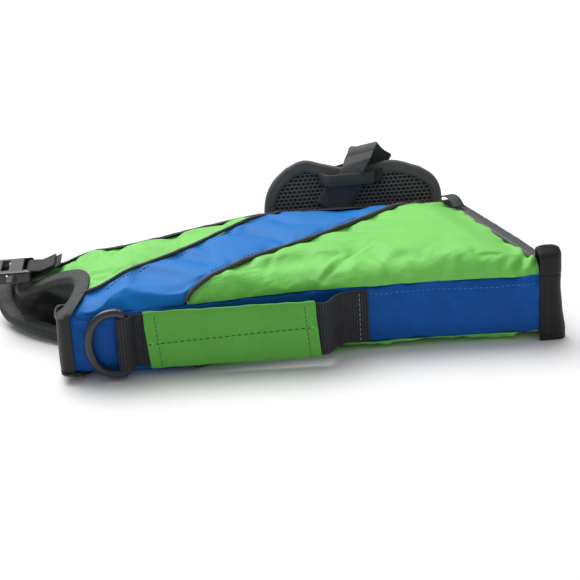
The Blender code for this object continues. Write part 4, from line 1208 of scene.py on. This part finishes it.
handle_cover = sleeve()
for number, x in enumerate((68.0, 168.4)):
    z = np.linspace(SPINE_MIDDLE - 19.8, SPINE_MIDDLE + 19.8, 40)
    points = np.stack([x - SLANT * (z - SPINE_MIDDLE), np.full(40, handle_y(x) - 3), z], 1)
    stitches(f"handle_hem_stitches_{number}", points, [handle_cover], "handle", "green",
             "green_ripstop", length=2.6, gap=0.6, facing=OUT)
x = np.linspace(61, 175.5, 60)
points = np.stack([x, handle_y(x) - 3, SPINE_MIDDLE - 2.4 + 4.8 * (x - 61) / 114], 1)
stitches("handle_seam_stitches", points, [handle_cover], "handle", "green", "green_ripstop",
         length=3.2, gap=1.1, radius=0.45, facing=OUT)


def knot(name, x, z):
    """The doubled-back thread where the sleeve's long seam stops."""
    t = np.linspace(0, 1, 40)
    points = np.stack([x + 3.4 * t + 0.8 * np.sin(9 * t), np.full(40, handle_y(x) - 3),
                       z + 1.5 * np.sin(21 * t)], 1)
    stitches(name, points, [handle_cover], "handle", "lime", "green_ripstop", length=1.8, gap=0.2,
             radius=0.3, facing=OUT)


knot("front_seam_knot", 63.0, SPINE_MIDDLE - 2.4)
knot("rear_seam_knot", 170.5, SPINE_MIDDLE + 2.2)

inside_cover = [(x, handle_y(x)) for x in (64, 72, *np.linspace(80, HANDLE_END - 3, 6))]
spine_webbing("handle_webbing_woven",
              [(57, HANDLE_Y - 0.6), (59, handle_y(59) + 0.3), *inside_cover],
              "handle", "handle_webbing")
spine_webbing("handle_front_anchor_woven",
              [(53.6, HANDLE_Y + 0.3), (56, HANDLE_Y - 0.2), (58.5, HANDLE_Y - 0.8)],
              "spine", "handle_front_anchor")
rear_points = [(212, spine_y(212) - ON_SPINE), (202, spine_y(202) - ON_SPINE - 0.1),
               (195.5, spine_y(195) - ON_SPINE - 0.9), (191.5, spine_y(190) - ON_SPINE - 3.6),
               (188, -9.8), (182, handle_y(182) + 0.6), (174, handle_y(174) + 0.3),
               (166, handle_y(166) + 0.5)]
rear_anchor = spine_webbing("handle_rear_anchor_woven", rear_points, None, "handle_rear_anchor")
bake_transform(rear_anchor)
z = np.linspace(SPINE_MIDDLE - 18, SPINE_MIDDLE + 18, 40)
points = np.stack([np.full(40, 206.0), np.full(40, spine_y(206) - ON_SPINE - 1), z], 1)
stitches("rear_anchor_stitches", points, [rear_anchor], "spine", "pale", "webbing",
         facing=OUT)

# ---------------------------------------------------------------- neck tab, straps and buckles

BAR_HALF = 1.2
LOOP_RADIUS = 1.9 * BAR_HALF + WEBBING / 2
BAR_OVER_FLOOR = 4.8
FLOOR_LAYER = WEBBING / 2 + 0.2
TAB_WIDTH = 25.0
NECK_FEMALE = (-24.0, 100.0, 42.2)

tab_base = [(x, float(right.shell_z(x, 100)) + 1.5 + TAPE + LAYER_GAP + WEBBING / 2)
            for x in (-2, -9, -16)]
neck_tab_line = looped(tab_base, (NECK_FEMALE[0], NECK_FEMALE[2]),
                       [(-16, tab_base[2][1] + WEBBING + 2.0), (-6, tab_base[1][1] + WEBBING + 2.2)],
                       LOOP_RADIUS)
neck_tab = strap("neck_tab_woven", [(x, NECK_FEMALE[1], z) for x, z in neck_tab_line], (0, 1, 0),
                 TAB_WIDTH, "webbing", "right_side", curved=False)
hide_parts("neck_tab")


def floor_strap(name, x, lead, bar_y, node):
    """Webbing of the left flank that comes down to the floor and goes round its buckle's bar."""
    back = [(y + 0.5, z + WEBBING + 0.7) for y, z in reversed(lead)]
    line = looped([*lead, (bar_y - 6, FLOOR_LAYER)], (bar_y, BAR_OVER_FLOOR),
                  [(bar_y - 5, BAR_OVER_FLOOR + 1.2), *back], LOOP_RADIUS)
    obj = strap(name, [(x, y, z) for y, z in line], (1, 0, 0), TAB_WIDTH, "webbing", "left_side",
                curved=False)
    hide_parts(node)


floor_strap("neck_strap_woven", -36.0, [(147.0, 20.0), (150.5, 18.5), (154.0, 12.0), (157.0, 4.0)],
            170.0, "neck_strap")
floor_strap("belly_tab_woven", 200.0, [(164.0, FLOOR_LAYER)], 176.0, "belly_tab")

# ---------------------------------------------------------------- belly panel

PANEL_BASE = 50.0
PANEL_FOOT = 43.0          # z of its sewn edge, tucked in below the flank
PANEL_THICK = 4.0
PANEL_ROOM = PANEL_THICK / 2 + 0.4
PANEL_STAND = 169.5        # y of its middle at its base
PANEL_LEAN = 20.0          # how far it leans out over PANEL_RISE
PANEL_RISE = 42.0


def panel_y(z):
    """Middle of the panel: it leans out as it rises, and tucks in below its base."""
    leaning = PANEL_LEAN * (np.maximum(z - PANEL_BASE, 0) / PANEL_RISE) ** 1.3
    tucked = 1.2 * np.maximum(PANEL_BASE - z, 0)
    return PANEL_STAND + leaning - tucked


def panel_ripple(x, z):
    return wander(x / 90 + z / 70, 0.35, (1, 2), 3)


def sewn_to_flank(obj):
    """A piece of the belly panel, sewn to the flank at its tucked edge: bake its placement into its
    points.
    """
    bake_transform(obj)


panel_low = Line([(154, PANEL_FOOT), (288, PANEL_FOOT)])
panel_high = Line([(172, 78), (185, 82.5), (200, 79), (217, 75.5), (235, 76), (254, 78.5), (274, 73)])
panel_front = Line([(154, PANEL_FOOT), (156, 59), (162, 70), (172, 78)])
panel_rear = Line([(288, PANEL_FOOT), (287.5, 58), (283, 67), (274, 73)])


def belly_knit():
    """The spacer mesh, a thick sheet."""
    mesh_plan = patch(panel_low, panel_high, panel_front, panel_rear, (0, 0.8, 0.8, 0.8), spacing=2.5)
    px, pz = mesh_plan[..., 0], mesh_plan[..., 1]
    near_face = np.stack([px, panel_y(pz) - PANEL_THICK / 2 + panel_ripple(px, pz), pz], -1)
    belly_mesh = grid_mesh("belly_mesh_knit", near_face, mesh_plan, "spacer_mesh", OUT)
    thicken(belly_mesh, PANEL_THICK, -1)
    subdivided(belly_mesh)
    sewn_to_flank(belly_mesh)
    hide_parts("belly_mesh")


def belly_tape_and_stitches():
    """Tape folded over the panel's free edges, with one row of stitches."""
    edge = chained(panel_front, panel_high, panel_rear.part(1, 0))
    t = np.linspace(0.005, 0.995, 120)
    base, outward = edge.at(t), edge.left(t)
    section = []
    for thick, order in ((PANEL_ROOM + 0.9, 1), (PANEL_ROOM - 0.3, -1)):
        side = [(-5.4, thick - 0.8), (-4.8, thick - 0.2), (-2.8, thick + 0.1), (-1.0, thick)]
        section += folded_layer(side, thick)[::order]
    section = np.array(section)
    p = base[:, None] + outward[:, None] * section[None, :, :1]
    held = base[:, None] + outward[:, None] * np.minimum(section[:, 0], 0)[None, :, None]
    depth = panel_y(held[..., 1]) - section[None, :, 1] + panel_ripple(p[..., 0], p[..., 1])
    stations = np.stack([p[..., 0], depth, p[..., 1]], -1)
    belly_tape = sweep("belly_binding_tape", stations, run_along(section), "binding_tape",
                       material=MIDDLE_TAPE)
    sewn_to_flank(belly_tape)
    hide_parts("belly_binding")
    row = (base - outward * 3.9)[base[:, 1] > 56]
    line = np.stack([row[:, 0], panel_y(row[:, 1]) - PANEL_ROOM - 1, row[:, 1]], 1)
    stitches("belly_binding_stitches", line, [belly_tape], "belly_panel", "dark", "binding_tape",
             facing=OUT)


belly_knit()
belly_tape_and_stitches()

STRAP_LEAN = math.radians(34)
TWIST = math.radians(27)   # the fold at the strap's top turns towards the tail
STRAP_FOOT = (207.0, 59.0)
STRAP_WIDTH = 25.0
UP_STRAP = np.array([math.sin(STRAP_LEAN), 0, math.cos(STRAP_LEAN)])
ACROSS_STRAP = np.array([math.cos(STRAP_LEAN), 0, -math.sin(STRAP_LEAN)])
ON_PANEL = PANEL_ROOM + TAPE + LAYER_GAP + WEBBING / 2
STRAP_TOP = 35.0
# Room behind the strap on its way up the panel: run along it, and height off the panel
STRAP_STANDOFF = ((-12, 0.3), (0, 0.4), (8, 1.1), (13, 2.4), (18, 3.8), (24, 4.9), (30, 5.6))
BACK_SHIFT = 17.0          # its leg behind the panel stands this far towards the tail
LOOP_Y = (181.0, 193.0)
BELLY_BAR = (2.0, LOOP_Y[1] + LOOP_RADIUS)


def before_panel(run, depth):
    """A point of the strap, as its run up the panel and its y."""
    return run, float(panel_y(STRAP_FOOT[1] + run * UP_STRAP[2])) - depth


def folded_strap():
    """Up the panel, over the turned fold at the top, down behind it and round the buckle's bar."""
    up_points = [before_panel(run, ON_PANEL + more) for run, more in STRAP_STANDOFF]
    loop_middle, loop_half = sum(LOOP_Y) / 2, (LOOP_Y[1] - LOOP_Y[0]) / 2
    crown = [(STRAP_TOP + 6 * math.sin(a), loop_middle - loop_half * math.cos(a))
             for a in np.linspace(0.1, 3.0, 14)]
    down = looped([(26, LOOP_Y[1]), (9, LOOP_Y[1])], BELLY_BAR,
                  [(8, LOOP_Y[1] + 5.2), (16, LOOP_Y[1] + 2.4)], LOOP_RADIUS)
    strap_line = Line([*up_points, *crown, *down], curved=False)
    count = int(strap_line.length / 1.3)
    on_line = strap_line.at(np.linspace(0, 1, count))
    run, y = on_line[:, 0], on_line[:, 1]
    follow = smooth((loop_middle - y) / 8) * smooth((34 - run) / 8)
    d = unit(np.gradient(on_line, axis=0))
    half, lip = STRAP_WIDTH / 2, WEBBING / 2
    columns = np.linspace(-half + lip, half - lip, 9)
    section = np.array([(c, lip) for c in columns] + [(half, 0)]
                       + [(c, -lip) for c in columns[::-1]] + [(-half, 0)])
    sideways, out = section[:, 0][None], section[:, 1][None]
    r = run[:, None] - d[:, 1][:, None] * out
    depth = y[:, None] + d[:, 0][:, None] * out
    twisted = (smooth((run - 8) / 13) * smooth((LOOP_Y[1] + 3 - y) / 6))[:, None]
    turned = np.array([math.cos(TWIST), -math.sin(TWIST), 0.3])
    across = unit((1 - twisted)[..., None] * ACROSS_STRAP + twisted[..., None] * turned)
    behind = (smooth((y - loop_middle + 4) / 8) * smooth((run - 7) / 10)
              * smooth((STRAP_TOP + 7 - run) / 12))
    sx = STRAP_FOOT[0] + 2 + UP_STRAP[0] * r + across[..., 0] * sideways
    sx = sx + BACK_SHIFT * behind[:, None]
    sz = STRAP_FOOT[1] + UP_STRAP[2] * r + across[..., 2] * sideways
    hug = panel_y(sz) - panel_y(STRAP_FOOT[1] + run[:, None] * UP_STRAP[2])
    depth = depth + across[..., 1] * sideways
    stations = np.stack([sx, depth + follow[:, None] * hug, sz], -1)
    belly_strap = sweep("belly_strap_woven", stations, run_along(section), "webbing",
                        material=STRAP_WEAVE)
    sewn_to_flank(belly_strap)
    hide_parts("belly_strap")


folded_strap()

KEEPER_Z = 72.5
keeper_y = float(panel_y(KEEPER_Z)) - ON_PANEL
keeper_points = [(196, 0.4), (199, 0), (201, -4.5), (204, -7.4), (218, -7.2), (233, -7.6),
                 (236.5, -6.5), (239, -1), (241, 0), (245, 0.2)]
keeper = strap("belly_strap_keeper_woven",
               [(x, keeper_y + out, KEEPER_Z + 0.02 * (x - 218)) for x, out in keeper_points],
               (0, 0.45, 0.89), 9.5, "webbing", "belly_panel", material=STRAP_WEAVE)
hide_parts("belly_strap_keeper")
strap("keeper_tack_woven", [(239.5, keeper_y - 1.9, KEEPER_Z + 0.4),
                            (245, keeper_y - 1.5, KEEPER_Z + 0.5)],
      (0.1, 0.45, 0.89), 10.5, "webbing", "belly_panel", curved=False)

corner_line = [(290, 146), (293, 137), (296, 128), (298, 119)]
corner_rise = (1.6, 5.0, 5.0, 1.6)
corner_loop = strap("rear_corner_loop_tape",
                    [(x - 2, y, float(right.shell_z(x - 2, y)) + 1.5 + TAPE + rise)
                     for (x, y), rise in zip(corner_line, corner_rise)],
                    (0.94, 0.33, 0), 9.0, "binding_tape", "right_side", thickness=TAPE)
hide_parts("rear_corner_loop")

# ---------------------------------------------------------------- CAD nodes that stay

for node, obj in frame["nodes"].items():
    slot_name = next(s["material_slot"] for s in frame["record"]["subparts"] if s["node"] == node)
    obj.data.materials.clear()
    obj.data.materials.append(MATERIALS[slot_name])

# ---------------------------------------------------------------- floor, light and camera

floor_mesh = bpy.data.meshes.new("floor")
floor_mesh.from_pydata([(-4, -3, 0), (4, -3, 0), (4, 5, 0), (-4, 5, 0)], [], [(0, 1, 2, 3)])
floor = place("floor", floor_mesh)
floor_material = bpy.data.materials.new("floor_paper")
floor_material.use_nodes = True
paper = floor_material.node_tree.nodes["Principled BSDF"]
paper.inputs["Base Color"].default_value = (0.93, 0.93, 0.93, 1)
paper.inputs["Roughness"].default_value = 0.9
floor_mesh.materials.append(floor_material)


# a wide soft sun from above the camera, and a faint panel behind that glosses the top edges
sun = bpy.data.lights.new("sky", "SUN")
sun.energy = 2.5
sun.angle = math.radians(55)
place("sky", sun).rotation_euler = (math.radians(-30), math.radians(-12), 0)
gloss = bpy.data.lights.new("gloss", "AREA")
gloss.size = 0.9
gloss.energy = 5
gloss_lamp = place("gloss", gloss)
gloss_lamp.location = (-0.5, 0.7, 0.9)
aim = Vector((0, 0, 0.03)) - gloss_lamp.location
gloss_lamp.rotation_euler = aim.to_track_quat("-Z", "Y").to_euler()

world = bpy.data.worlds.new("studio")
world.use_nodes = True
world.node_tree.nodes["Background"].inputs[0].default_value = (1, 1, 1, 1)
world.node_tree.nodes["Background"].inputs[1].default_value = 0.38
bpy.context.scene.world = world
bpy.context.scene.view_settings.view_transform = "Standard"

PITCH, YAW, ROLL = (math.radians(a) for a in (21, 3, 3.3))
LENS = 99.7
CAMERA_PLACE = (-0.03927, -1.10626, 0.44016)
ahead = Vector((math.sin(YAW) * math.cos(PITCH), math.cos(YAW) * math.cos(PITCH), -math.sin(PITCH)))
level = Vector((math.cos(YAW), -math.sin(YAW), 0))
above = level.cross(ahead)
right_hand = math.cos(ROLL) * level - math.sin(ROLL) * above
upwards = math.sin(ROLL) * level + math.cos(ROLL) * above
camera_data = bpy.data.cameras.new("camera")
camera_data.lens = LENS
camera_data.sensor_width = 36
camera = place("camera", camera_data)
turn = Matrix((right_hand, upwards, -ahead)).transposed().to_4x4()
camera.matrix_world = Matrix.Translation(CAMERA_PLACE) @ turn
bpy.context.scene.camera = camera
